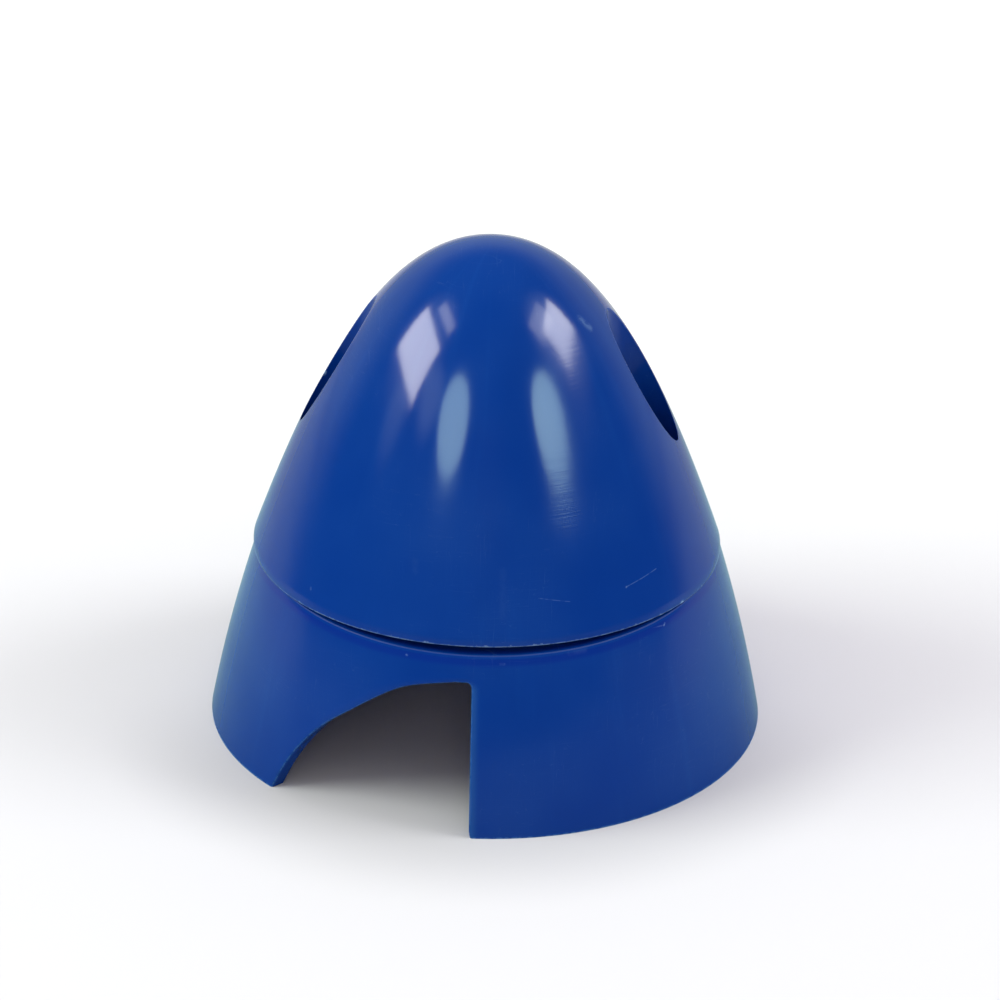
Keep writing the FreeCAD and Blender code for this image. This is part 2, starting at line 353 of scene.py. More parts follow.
class SkirtForm(bpy.types.PropertyGroup):
    """Sizes of the blade skirt."""

    top_radius: length("Top radius", 23.75, "Outer radius at the joint")
    bulge: length("Bulge", 0.3, "Outward bulge of the flank")
    wall: length("Wall", 1.4, "Wall of the skirt")
    top_round: length("Top round", 0.06, "Round on the top edge")
    dip_depth: length("Dip depth", 0.85, "How far the worn top edge dips at the front")
    dip_reach: length("Dip reach", 12.0, "How far back the dip starts")
    spigot_radius: length("Spigot radius", 22.25, "Outer radius of the centring ring")
    spigot_wall: length("Spigot wall", 2.0, "Wall of the centring ring")
    hub_radius: length("Hub radius", 10.0, "Outer radius of the hub under the web")
    hub_bottom: length("Hub bottom", 11.0, "Level of the hub's lower face")
    shaft_radius: length("Shaft radius", 4.0, "Bore for the propeller shaft")
    pad_radius: length("Pad radius", 9.0, "Radius of the raised seat for the nut")
    pad_height: length("Pad height", 0.4, "Height of that seat")
    boss_radius: length("Boss radius", 3.4, "Outer radius of the screw bosses")
    boss_bottom: length("Boss bottom", 11.3, "Level of the bosses' lower face")
    pilot_radius: length("Pilot radius", 1.55, "Radius of the pilot holes")
    pocket_gap: length("Pocket gap", 0.3, "Room round the columns' feet")
    rib_thickness: length("Rib thickness", 1.2, "Thickness of the ribs under the web")
    rib_hub_level: length("Rib level at the hub", 11.6, "Lower edge of a rib at the hub")
    rib_wall_level: length("Rib level at the wall", 13.4, "Lower edge of a rib at the wall")
    blade_azimuth: angle("Blade azimuth", -115.0, "Direction of the front blade opening")
    foot_angle: angle("Foot angle", 23.5, "Foot of the arch, before the centre line")
    jamb_angle: angle("Jamb angle", 22.0, "Upright side of the arch, past the centre line")
    jamb_drift: length("Jamb drift", 0.15, "How far that side leans out towards its foot")
    shoulder_angle: angle("Shoulder angle", 10.2, "Shoulder of the arch, before the centre line")
    shoulder_height: length("Shoulder height", 9.35, "Level of that shoulder")
    haunch_bulge: length("Haunch bulge", 0.77, "Bulge of the arc from foot to shoulder")
    crown_angle: angle("Crown angle", 5.0, "Pull of the arch's crown")
    crown_drop: length("Crown drop", 0.8, "How far that pull lies below the top")
    crest_angle: angle("Crest angle", 18.1, "Where the arch becomes level")
    opening_top: length("Opening top", 15.4, "Level of the top of the openings")
    corner_round: length("Corner round", 0.7, "Round in the corners of the opening")
    cut_round: length("Cut round", 0.3, "Round on the outer edge of the opening")
    step: length("Step", 0.66, "Spacing of the points on the flank")


class ScrewForm(bpy.types.PropertyGroup):
    """Sizes of the two self-tapping screws."""

    head_radius: length("Head radius", 2.8, "Radius of the pan head")
    head_side: length("Head side", 1.1, "Height of the head's side")
    head_height: length("Head height", 2.1, "Height of the head")
    core_radius: length("Core radius", 1.1, "Radius of the shank between the threads")
    thread_radius: length("Thread radius", 1.5, "Outer radius of the thread")
    pitch: length("Pitch", 1.1, "Distance between the thread's turns")
    shank: length("Length", 10.0, "Length below the head")
    tip: length("Tip", 1.5, "Length of the pointed end")
    recess_length: length("Recess length", 3.2, "Span of the cross recess")
    recess_width: length("Recess width", 0.8, "Width of its arms")
    recess_depth: length("Recess depth", 1.1, "Depth of the recess")


class SpinnerFinish(bpy.types.PropertyGroup):
    """Colours of the surfaces."""

    plastic: colour("Plastic", (0.001, 0.0335, 0.243), "Body colour of the moulded plastic")
    bloom: colour("Bloom", (0.004, 0.048, 0.275), "Paler flow marks in the plastic")
    # painted shade: the darker band under the skirt's top edge, where the nose rim overhangs it
    band: colour("Band", (0.001, 0.021, 0.24), "Deeper band under the top edge of the skirt")
    # the next two edge colours are partly wear and partly painted highlight where the rounded
    # edges catch the light
    skirt_edge_wear_and_highlight: colour("Skirt edge", (0.02, 0.16, 0.42), "Cut edges of the skirt")
    nose_edge_wear_and_highlight: colour("Nose edge", (0.012, 0.07, 0.34), "Rims of the screw wells")
    # whitened plastic, and also the colour of the painted highlight among the nose's marks
    whitened_and_glint: colour("Whitened", (0.3, 0.5, 0.76), "Stressed and scratched plastic")
    gloss: amount("Gloss", 1.48, "Refractive index of the plastic")
    steel: colour("Steel", (0.55, 0.56, 0.58), "Zinc-plated steel of the screws")


class SpinnerStudio(bpy.types.PropertyGroup):
    """Camera, floor and lamps."""

    floor: colour("Floor", (0.77, 0.745, 0.785), "Floor before the spinner")
    # painted shadow: the floor darker close round the spinner's front
    painted_contact_shadow: colour("Contact floor", (0.62, 0.6, 0.635), "Floor close round the spinner")
    # painted light: the floor brighter towards the back
    painted_light_far_floor: colour("Far floor", (0.91, 0.9, 0.9), "Floor behind the spinner")
    front_reflection: colour("Front reflection", (0.1, 0.1, 0.1), "Front floor in the gloss")
    near_reflection: colour("Near reflection", (0.29, 0.45, 0.48), "Near floor in the gloss")
    back_reflection: colour("Back reflection", (0.6, 0.6, 0.6), "Floor behind in the gloss")
    side_reflection: colour("Side reflection", (0.05, 0.05, 0.05), "Far floor at the sides")
    far_reflection: colour("Far reflection", (0.33, 0.365, 0.4), "Far floor in the gloss")
    lamp_level: amount("Lamp level", 1.0, "Strength of all the lamps")
    surround_level: amount("Surround level", 1.0, "Surroundings in the gloss")
    ambient_low: amount("Ambient low", 0.16, "Light on matt surfaces from the horizon")
    ambient_high: amount("Ambient high", 0.97, "Light on matt surfaces from above")


def operator(operation, turned=False):
    """Method of Value that adds one Math node for an operator."""

    def method(self, other):
        first, second = (other, self) if turned else (self, other)
        return self.nodes.math(operation, first, second)

    return method


class Value:
    """A node's output. Operators on it add Math nodes to its tree."""

    def __init__(self, nodes, socket):
        self.nodes = nodes
        self.socket = socket

    def output(self, name):
        """Another output of the same node."""
        return Value(self.nodes, self.socket.node.outputs[name])

    __add__ = operator("ADD")
    __radd__ = operator("ADD", turned=True)
    __sub__ = operator("SUBTRACT")
    __rsub__ = operator("SUBTRACT", turned=True)
    __mul__ = operator("MULTIPLY")
    __rmul__ = operator("MULTIPLY", turned=True)
    __truediv__ = operator("DIVIDE")


class Nodes:
    """A node tree that is filled by expressions."""

    def __init__(self, tree):
        self.tree = tree

    def add(self, kind, settings=None, sockets=None, output=0):
        """New node: its settings first, then the values or links of its sockets."""
        node = self.tree.nodes.new(kind)
        for name, value in (settings or {}).items():
            if name == "items":
                add_items(node, value)
            else:
                setattr(node, name, value)
        for key, value in (sockets or {}).items():
            self.feed(node.inputs[key], value)
        return Value(self, node.outputs[output])

    def feed(self, socket, value):
        """Link a value to a socket, several to a socket that takes them, or set it."""
        if isinstance(value, Value):
            self.tree.links.new(value.socket, socket)
        elif isinstance(value, list):
            for part in value:
                self.tree.links.new(part.socket, socket)
        else:
            socket.default_value = value

    def math(self, operation, first, second=0.0):
        """One Math node."""
        return self.add("ShaderNodeMath", {"operation": operation}, {0: first, 1: second})

    def vector(self, x, y, z):
        """Vector from three values."""
        return self.add("ShaderNodeCombineXYZ", None, {"X": x, "Y": y, "Z": z})

    def parts(self, vector):
        """The x, y and z of a vector."""
        x = self.add("ShaderNodeSeparateXYZ", None, {0: vector})
        return x, x.output("Y"), x.output("Z")

    def scaled(self, vector, factor):
        """Vector times a number."""
        return self.add(
            "ShaderNodeVectorMath", {"operation": "SCALE"}, {0: vector, "Scale": factor})

    def vector_math(self, operation, first, second, output="Vector"):
        """One Vector Math node."""
        return self.add(
            "ShaderNodeVectorMath", {"operation": operation}, {0: first, 1: second}, output)

    def distance(self, place, start, end):
        """Distance from a straight line between two places."""
        run = Vector(end) - Vector(start)
        away = self.vector_math("SUBTRACT", place, start)
        share = self.vector_math("DOT_PRODUCT", away, run / run.length_squared, "Value")
        share = self.math("MINIMUM", self.math("MAXIMUM", share, 0.0), 1.0)
        return self.vector_math("DISTANCE", away, self.scaled(run, share), "Value")

    def attribute(self, name):
        """A distance that is stored on the mesh, in millimetres."""
        return self.add("ShaderNodeAttribute", {"attribute_name": name}, None, "Fac") / MM

    def noise(self, place, scale, detail, roughness):
        """Noise from 0 to 1."""
        return self.add(
            "ShaderNodeTexNoise", None,
            {"Vector": place, "Scale": scale, "Detail": detail, "Roughness": roughness})

    def mixed(self, factor, first, second):
        """Mix of two colours, which are links or plain RGB."""
        first, second = (c if isinstance(c, Value) else (*c, 1.0) for c in (first, second))
        return self.add(
            "ShaderNodeMix", {"data_type": "RGBA", "clamp_factor": True},
            {0: factor, 6: first, 7: second}, 2)

    def ramp(self, value, low, high, start=0.0, end=1.0):
        """Smooth step of a value from start to end while it runs from low to high."""
        return self.add(
            "ShaderNodeMapRange", {"interpolation_type": "SMOOTHSTEP"},
            {"Value": value, "From Min": low, "From Max": high, "To Min": start, "To Max": end})


def add_items(node, count):
    """Give an Index Switch node its number of items."""
    while len(node.index_switch_items) < count:
        node.index_switch_items.new()


class Form(Nodes):
    """A geometry tree with named size inputs."""

    def __init__(self, name, sizes):
        super().__init__(bpy.data.node_groups.new(name, "GeometryNodeTree"))
        face = self.tree.interface
        face.new_socket("Geometry", in_out="INPUT", socket_type="NodeSocketGeometry")
        for label, value in sizes.items():
            kind = "NodeSocketVector" if isinstance(value, tuple) else "NodeSocketFloat"
            face.new_socket(label, in_out="INPUT", socket_type=kind)
        face.new_socket("Geometry", in_out="OUTPUT", socket_type="NodeSocketGeometry")
        self.sizes = sizes
        self.start = self.tree.nodes.new("NodeGroupInput")
        self.end = self.tree.nodes.new("NodeGroupOutput")

    def size(self, label):
        """One of the tree's inputs."""
        return Value(self, self.start.outputs[label])

    def finish(self, geometry, material):
        """Close the tree with real geometry that has its material."""
        real = self.add("GeometryNodeRealizeInstances", None, {"Geometry": geometry})
        done = self.add(
            "GeometryNodeSetMaterial", None, {"Geometry": real, "Material": material})
        self.feed(self.end.inputs["Geometry"], done)

    def run(self, name, mesh):
        """Plain object that holds what the tree makes of a mesh."""
        piece = placed(name, mesh)
        modifier = piece.modifiers.new(name, "NODES")
        modifier.node_group = self.tree
        for item in self.tree.interface.items_tree:
            if item.item_type == "SOCKET" and item.in_out == "INPUT" and item.name in self.sizes:
                modifier[item.identifier] = self.sizes[item.name]
        bpy.context.view_layer.update()
        evaluated = piece.evaluated_get(bpy.context.evaluated_depsgraph_get())
        result = bpy.data.meshes.new_from_object(evaluated)
        piece.modifiers.remove(modifier)
        piece.data = result
        result.name = name
        bpy.data.meshes.remove(mesh)
        return piece

    def angle_and_row(self, segments, rows):
        """Flat grid with its turn angle and its row number at each point."""
        grid = self.add(
            "GeometryNodeMeshGrid", None,
            {"Size X": 1.0, "Size Y": 1.0, "Vertices X": segments + 1, "Vertices Y": rows})
        x, y, _ = self.parts(self.add("GeometryNodeInputPosition"))
        turn = (x + 0.5) * FULL_TURN
        row = (y + 0.5) * (rows - 1)
        return grid, turn, row

    def wrapped(self, grid, turn, radius, level):
        """Grid bent into a closed form of revolution."""
        place = self.vector(
            radius * self.math("COSINE", turn), radius * self.math("SINE", turn), level)
        bent = self.add("GeometryNodeSetPosition", None, {"Geometry": grid, "Position": place})
        return self.merged(bent)

    def turned(self, corners, segments):
        """Solid of revolution on (radius, level) corners that run from axis to axis, upwards."""
        grid, turn, row = self.angle_and_row(segments, len(corners))
        sockets = {"Index": self.math("ROUND", row)}
        for i, (radius, level) in enumerate(corners):
            sockets[str(i)] = self.vector(radius, 0.0, level)
        corner = self.add(
            "GeometryNodeIndexSwitch", {"data_type": "VECTOR", "items": len(corners)}, sockets)
        radius, _, level = self.parts(corner)
        return self.wrapped(grid, turn, radius, level)

    def domed(self, curve, segments, rows):
        """Solid of revolution under a curve from the rim to the tip, closed by a flat foot."""
        grid, turn, row = self.angle_and_row(segments, rows)
        along = (row - 1.0) / (rows - 2.0)
        place = self.add(
            "GeometryNodeSampleCurve", {"mode": "FACTOR"}, {"Curves": curve, "Factor": along},
            "Position")
        radius, _, level = self.parts(place)
        open_row = self.math("MINIMUM", row, 1.0)
        return self.wrapped(grid, turn, radius * open_row, level)

    def box(self, x, y, z):
        """Box about the origin."""
        return self.add("GeometryNodeMeshCube", None, {"Size": self.vector(x, y, z)})

    def cylinder(self, radius, bottom, top, segments):
        """Closed cylinder about the axis."""
        return self.turned([(0.0, bottom), (radius, bottom), (radius, top), (0.0, top)], segments)

    def moved(self, geometry, x=0.0, y=0.0, z=0.0, turn=0.0):
        """Geometry moved, or turned about the axis."""
        return self.add(
            "GeometryNodeTransform", None,
            {"Geometry": geometry, "Translation": self.vector(x, y, z),
             "Rotation": self.vector(0.0, 0.0, turn)})

    def pair(self, geometry):
        """Two copies where the screws are, half a turn apart."""
        out = self.moved(geometry, x=self.size("Screw circle"))
        right = self.moved(out, turn=self.size("Screw azimuth"))
        left = self.moved(right, turn=math.pi)
        return self.add("GeometryNodeJoinGeometry", None, {"Geometry": [right, left]})

    def cut(self, geometry, *tools):
        """Exact difference with one closed form after another."""
        for tool in tools:
            geometry = self.add(
                "GeometryNodeMeshBoolean", {"operation": "DIFFERENCE", "solver": "EXACT"},
                {"Mesh 1": geometry, "Mesh 2": tool})
            geometry = self.merged(geometry)
        return geometry

    def merged(self, geometry):
        """Geometry whose coinciding points are one."""
        return self.add(
            "GeometryNodeMergeByDistance", None, {"Geometry": geometry, "Distance": SAME_POINT})

    def united(self, *forms):
        """Exact union of closed forms."""
        return self.merged(self.add(
            "GeometryNodeMeshBoolean", {"operation": "UNION", "solver": "EXACT"},
            {"Mesh 2": list(forms)}))


def enclosed(points, sides):
    """Which flat points lie inside an odd number of the borders that the sides make up."""
    inside = np.zeros(len(points), bool)
    x, y = points[:, 0], points[:, 1]
    for (ax, ay), (bx, by) in sides:
        if ay != by:
            spans = (y < max(ay, by)) & (y >= min(ay, by))
            inside ^= spans & (x < ax + (y - ay) * (bx - ax) / (by - ay))
    return inside


class Shell:
    """Points and faces of a closed surface, gathered ring by ring."""

    def __init__(self):
        self.points = []
        self.faces = []

    def ring(self, points):
        """Add points and return their numbers."""
        first = len(self.points)
        self.points.extend(tuple(float(c) for c in p) for p in points)
        return list(range(first, len(self.points)))

    def bridge(self, lower, upper, closed=True):
        """Quads between two rows of as many points."""
        count = len(lower)
        for i in range(count if closed else count - 1):
            j = (i + 1) % count
            self.faces.append((lower[i], lower[j], upper[j], upper[i]))

    def rings(self, rows):
        """Add several rows of points."""
        return [self.ring(points) for points in rows]

    def bands(self, rows, closed=True):
        """Quads between each row and the next."""
        for lower, upper in zip(rows[:-1], rows[1:]):
            self.bridge(lower, upper, closed)

    def fill(self, numbers, flat, borders):
        """Triangles on points that are laid flat, where an odd number of borders encloses them."""
        place = {number: i for i, number in enumerate(numbers)}
        edges = []
        for border in borders:
            edges += [(place[a], place[b]) for a, b in zip(border, border[1:] + border[:1])]
        spots = [Vector((float(u), float(v))) for u, v in flat]
        spots_out, _, faces, origin, _, _ = delaunay_2d_cdt(spots, edges, [], 0, 1e-9)
        spots_out = np.array([tuple(p) for p in spots_out])
        faces = np.array(faces)
        flat = np.array([tuple(p) for p in spots])
        inside = enclosed(spots_out[faces].mean(axis=1), [(flat[a], flat[b]) for a, b in edges])
        for face in faces[inside]:
            self.faces.append(tuple(numbers[origin[i][0]] for i in face))

    def mesh(self, name):
        """Closed mesh with its faces outwards."""
        mesh = bpy.data.meshes.new(name)
        mesh.from_pydata(self.points, [], self.faces)
        work = bmesh.new()
        work.from_mesh(mesh)
        bmesh.ops.remove_doubles(work, verts=work.verts, dist=SAME_POINT / 2)
        bmesh.ops.recalc_face_normals(work, faces=work.faces)
        work.to_mesh(mesh)
        work.free()
        return mesh


def cubic(poles, count):
    """Points along a cubic curve."""
    t = np.linspace(0.0, 1.0, count)[:, None]
    a, b, c, d = (np.array(pole) for pole in poles)
    return (1 - t) ** 3 * a + 3 * (1 - t) ** 2 * t * b + 3 * (1 - t) * t ** 2 * c + t ** 3 * d


def quadratic(start, pole, end, steps):
    """Rows of points that round a corner from start to end, without the first."""
    rows = []
    for t in np.linspace(0.0, 1.0, steps + 1)[1:]:
        rows.append((1 - t) ** 2 * start + 2 * (1 - t) * t * pole + t ** 2 * end)
    return rows


def circle(radius, level, count, centre=(0.0, 0.0), start=0.0):
    """Points of a level circle; the radius and the level may change round it."""
    turn = start + np.linspace(0.0, FULL_TURN, count, endpoint=False)
    x = centre[0] + radius * np.cos(turn)
    y = centre[1] + radius * np.sin(turn)
    return np.stack([x, y, np.broadcast_to(level, turn.shape)], axis=1)


def screw_places(form):
    """Centres of the two screws in plan."""
    x = form.screw_circle * math.cos(form.screw_azimuth)
    y = form.screw_circle * math.sin(form.screw_azimuth)
    return [(x, y), (-x, -y)]


def nose_poles(form, nose):
    """Poles of the nose's outer curve in the XZ plane, from the land to the tip."""
    x = form.rim_radius
    z = form.joint_height + nose.rim_land
    return [
        (x, z),
        (x - nose.rim_handle * math.sin(nose.rim_slope),
         z + nose.rim_handle * math.cos(nose.rim_slope)),
        (nose.tip_handle, form.height),
        (0.0, form.height),
    ]


class NoseCurve:
    """The nose's outer curve, as radius, level and length from the tip."""

    def __init__(self, form, nose):
        curve = cubic(nose_poles(form, nose), PROFILE_POINTS)[::-1]
        self.radius = curve[:, 0]
        self.level = curve[:, 1]
        steps = np.hypot(np.diff(self.radius), np.diff(self.level))
        self.reach = np.concatenate([[0.0], np.cumsum(steps)])

    def point(self, x, y):
        """Points on the surface above places in plan."""
        return np.stack([x, y, np.interp(np.hypot(x, y), self.radius, self.level)], axis=1)

    def flat(self, points):
        """The surface laid flat round its tip."""
        radius = np.hypot(points[:, 0], points[:, 1])
        scale = np.interp(radius, self.radius, self.reach) / np.maximum(radius, 1e-9)
        return points[:, :2] * scale[:, None]


def tip_rows(form, nose, curve):
    """Rows of points from the nose's tip to its land, fewer round the tip, none at the wells."""
    clear = nose.well_radius + form.edge_round + COLLAR_STEPS[-1] + COLLAR_STEPS[1]
    closest = CLOSEST_SHARE * nose.step
    count = round(curve.reach[-1] / nose.step)
    rows = []
    for row in range(count + 1):
        radius = np.interp(curve.reach[-1] * row / count, curve.reach, curve.radius)
        around = form.segments
        while around > FEWEST_ROUND_TIP and FULL_TURN * radius / around < closest:
            around //= 2
        turn = np.linspace(0.0, FULL_TURN, around if row else 1, endpoint=False)
        x, y = radius * np.cos(turn), radius * np.sin(turn)
        keep = np.ones(len(turn), bool)
        for cx, cy in screw_places(form):
            keep &= np.hypot(x - cx, y - cy) > clear
        rows.append(curve.point(x[keep], y[keep]))
    return rows


def cut_well(form, nose, shell, curve, centre, start, collar):
    """Well with its rounded rim and its screw hole; returns its sharp rim and the hole's foot."""
    wall = circle(nose.well_radius, 0.0, WELL_SEGMENTS, centre)
    pole = curve.point(wall[:, 0], wall[:, 1])
    end = pole - np.array([0.0, 0.0, form.edge_round])
    rows = [collar] + shell.rings(quadratic(start, pole, end, RIM_STEPS))
    for share in WELL_SHARES:
        down = end.copy()
        down[:, 2] = end[:, 2] * (1 - share) + nose.well_floor * share
        rows.append(shell.ring(down))
    for level in (nose.well_floor, form.joint_height - form.web_drop):
        rows.append(shell.ring(circle(nose.hole_radius, level, WELL_SEGMENTS, centre)))
    shell.bands(rows)
    return pole, rows[-1]


def nose_blank(form, nose):
    """Solid nose with its wells, screw holes and rounded rims, before it is hollowed."""
    curve = NoseCurve(form, nose)
    shell = Shell()
    numbers = []
    flat = []

    def lay(points):
        row = shell.ring(points)
        numbers.extend(row)
        flat.append(curve.flat(points))
        return row

    for points in tip_rows(form, nose, curve):
        rim = lay(points)
    collars, edges, holes = [], [], []
    for centre in screw_places(form):
        for step in COLLAR_STEPS[::-1]:
            radius = nose.well_radius + form.edge_round + step
            spread = circle(radius, 0.0, WELL_SEGMENTS, centre)
            points = curve.point(spread[:, 0], spread[:, 1])
            collar = lay(points)
        collars.append(collar)
        edge, hole = cut_well(form, nose, shell, curve, centre, points, collar)
        edges.append(edge)
        holes.append(hole)
    shell.fill(numbers, np.concatenate(flat), [rim] + collars)

    inner = form.rim_radius - form.rim_thickness - CORE_INSET
    low = form.joint_height
    start = np.array([form.rim_radius, low + nose.rim_round])
    pole = np.array([form.rim_radius, low])
    end = np.array([form.rim_radius - nose.rim_round, low])
    profile = [start] + quadratic(start, pole, end, RIM_STEPS)
    profile += [(inner, low), (inner, low - form.web_drop)]
    rows = [rim] + shell.rings(circle(r, z, form.segments) for r, z in profile)
    shell.bands(rows)
    foot = rows[-1] + holes[0] + holes[1]
    shell.fill(foot, [shell.points[i][:2] for i in foot], [rows[-1]] + holes)
    rim_line = circle(form.rim_radius, low, 4 * form.segments)
    gaps = {RIM_GAP: [rim_line], EDGE_GAP: edges, JAMB_GAP: [], BAND_GAP: []}
    return shell.mesh("nose_blank"), gaps


def offset_curve(poles, distance):
    """Poles of a curve that runs inside another at an even distance, towards the axis."""
    legs = []
    for start, end in zip(poles[:-1], poles[1:]):
        start, end = Vector(start), Vector(end)
        along = (end - start).normalized()
        inward = Vector((-along.y, along.x)) * distance
        legs.append((start + inward, end + inward, along))
    inner = [legs[0][0]]
    for before, after in zip(legs[:-1], legs[1:]):
        gap = after[0] - before[0]
        turn = before[2].x * after[2].y - before[2].y * after[2].x
        reach = (gap.x * after[2].y - gap.y * after[2].x) / turn
        inner.append(before[0] + before[2] * reach)
    inner.append(legs[-1][1])
    return [(pole.x, 0.0, pole.y) for pole in inner]


def hollow_nose(form, nose, blank, material):
    """Cut the inside of the nose, leaving its two screw columns and their ribs."""
    poles = offset_curve(nose_poles(form, nose), nose.wall)
    tree = Form("hollow_nose", {
        "Rim point": poles[0],
        "Rim pull": poles[1],
        "Tip pull": poles[2],
        "Tip point": poles[3],
        "Bore radius": form.rim_radius - form.rim_thickness,
        "Bore bottom": form.joint_height - BORE_REACH,
        "Bore top": nose.bore_top,
        "Column radius": form.column_radius,
        "Column bottom": form.joint_height - COLUMN_REACH,
        "Column top": form.height,
        "Screw circle": form.screw_circle,
        "Screw azimuth": form.screw_azimuth,
        "Rib length": form.rim_radius - form.screw_circle,
        "Rib thickness": nose.rib_thickness,
        "Rib height": nose.rib_height,
    })
    size = tree.size
    curve = tree.add(
        "GeometryNodeCurvePrimitiveBezierSegment", None,
        {"Resolution": COLUMN_SEGMENTS, "Start": size("Rim point"),
         "Start Handle": size("Rim pull"), "End Handle": size("Tip pull"),
         "End": size("Tip point")})
    dome = tree.domed(curve, DOME_SEGMENTS, DOME_ROWS)
    bore = tree.cylinder(
        size("Bore radius"), size("Bore bottom"), size("Bore top"), form.segments)
    column = tree.cylinder(
        size("Column radius"), size("Column bottom"), size("Column top"), COLUMN_SEGMENTS)
    columns = tree.pair(column)
    bar = tree.box(size("Rib length"), size("Rib thickness"), size("Rib height"))
    foot = size("Bore top") + RIB_LIFT
    bar = tree.moved(bar, x=size("Rib length") / 2, z=foot + size("Rib height") / 2)
    ribs = tree.pair(bar)
    room = tree.cut(tree.united(dome, bore), columns, ribs)
    tree.finish(tree.cut(tree.size("Geometry"), room), material)
    return tree.run("nose_shell", blank)


class SkirtFlank:
    """Outer surface of the skirt: a cone with a faint bulge, under a worn, dipped edge."""

    def __init__(self, form, skirt):
        foot = np.array([form.base_radius, 0.0])
        top = np.array([skirt.top_radius, form.joint_height])
        chord = top - foot
        span = np.hypot(*chord)
        self.bend = (span ** 2 / 4 + skirt.bulge ** 2) / (2 * skirt.bulge)
        outward = np.array([chord[1], -chord[0]]) / span
        self.centre = (foot + top) / 2 - outward * (self.bend - skirt.bulge)
        self.joint = form.joint_height
        self.dip_start = skirt.top_radius - skirt.dip_reach
        self.dip_slope = skirt.dip_depth / skirt.dip_reach

    def radius(self, level):
        """Outer radius at a level."""
        return self.centre[0] + np.sqrt(self.bend ** 2 - (level - self.centre[1]) ** 2)

    def dipped(self, y):
        """Level of the top edge at a place, given by its Y."""
        return self.joint - self.dip_slope * np.maximum(0.0, -self.dip_start - y)

    def edge(self, turn):
        """Level of the top edge in a direction."""
        level = np.full(np.shape(turn), self.joint)
        for _ in range(DIP_ROUNDS):
            level = self.dipped(self.radius(level) * np.sin(turn))
        return level

    def point(self, turn, level, depth=0.0):
        """Points on the surface, or sunk towards the axis."""
        radius = self.radius(level) - depth
        return np.stack([radius * np.cos(turn), radius * np.sin(turn), level], axis=1)


def arc(start, end, bulge, count):
    """Points of an arc whose middle stands off its chord, to the left of its run."""
    start, end = np.array(start), np.array(end)
    chord = end - start
    span = np.hypot(*chord)
    bend = (span ** 2 / 4 + bulge ** 2) / (2 * bulge)
    left = np.array([-chord[1], chord[0]]) / span
    centre = (start + end) / 2 - left * (bend - bulge)
    half = math.asin(span / 2 / bend)
    sweep = np.linspace(half, -half, count)[:, None]
    forward = chord / span
    return centre + bend * (np.cos(sweep) * left - np.sin(sweep) * forward)


def across(form, turn):
    """Distance across a blade opening at an angle from its centre line."""
    return form.base_radius * math.tan(turn)


def arch(form, skirt, ground):
    """Even points of a blade opening's outline, as distance across and level, foot to jamb."""
    top = skirt.opening_top
    shoulder = (across(form, -skirt.shoulder_angle), skirt.shoulder_height)
    crown = (across(form, skirt.crown_angle), top - skirt.crown_drop)
    crest = (across(form, skirt.crest_angle), top)
    jamb = across(form, skirt.jamb_angle)
    corner = skirt.corner_round
    start = (across(form, -skirt.foot_angle), 0.0)
    haunch = arc(start, shoulder, skirt.haunch_bulge, HAUNCH_POINTS)
    lean = haunch[0] - haunch[1]
    foot = haunch[0] + lean * (-ground / lean[1])
    crown_line = cubic([shoulder, crown, crown, crest], CROWN_POINTS)
    corner_line = quadratic(
        np.array([jamb - corner, top]), np.array([jamb, top]), np.array([jamb, top - corner]),
        CORNER_STEPS)
    drift = jamb + skirt.jamb_drift
    foot_line = quadratic(
        np.array([drift, corner]), np.array([drift, -FOOT_PULL * corner]),
        np.array([drift + FOOT_FLARE * corner, -ground]), CORNER_STEPS)
    points = np.concatenate([
        [foot], haunch, crown_line[1:], [(jamb - corner, top)], corner_line,
        [(drift, corner)], foot_line])
    reach = np.concatenate([[0.0], np.cumsum(np.hypot(*np.diff(points, axis=0).T))])
    even = np.linspace(0.0, reach[-1], round(reach[-1] / ARCH_SPACING))
    return np.stack([np.interp(even, reach, points[:, i]) for i in (0, 1)], axis=1)


def widened(outline, width, ground):
    """The outline pushed outwards by a width, with both ends kept on the ground line."""
    run = np.gradient(outline, axis=0)
    run /= np.hypot(run[:, 0], run[:, 1])[:, None]
    wide = outline + np.stack([-run[:, 1], run[:, 0]], axis=1) * width
    wide[0, 1] = wide[-1, 1] = -ground
    return wide


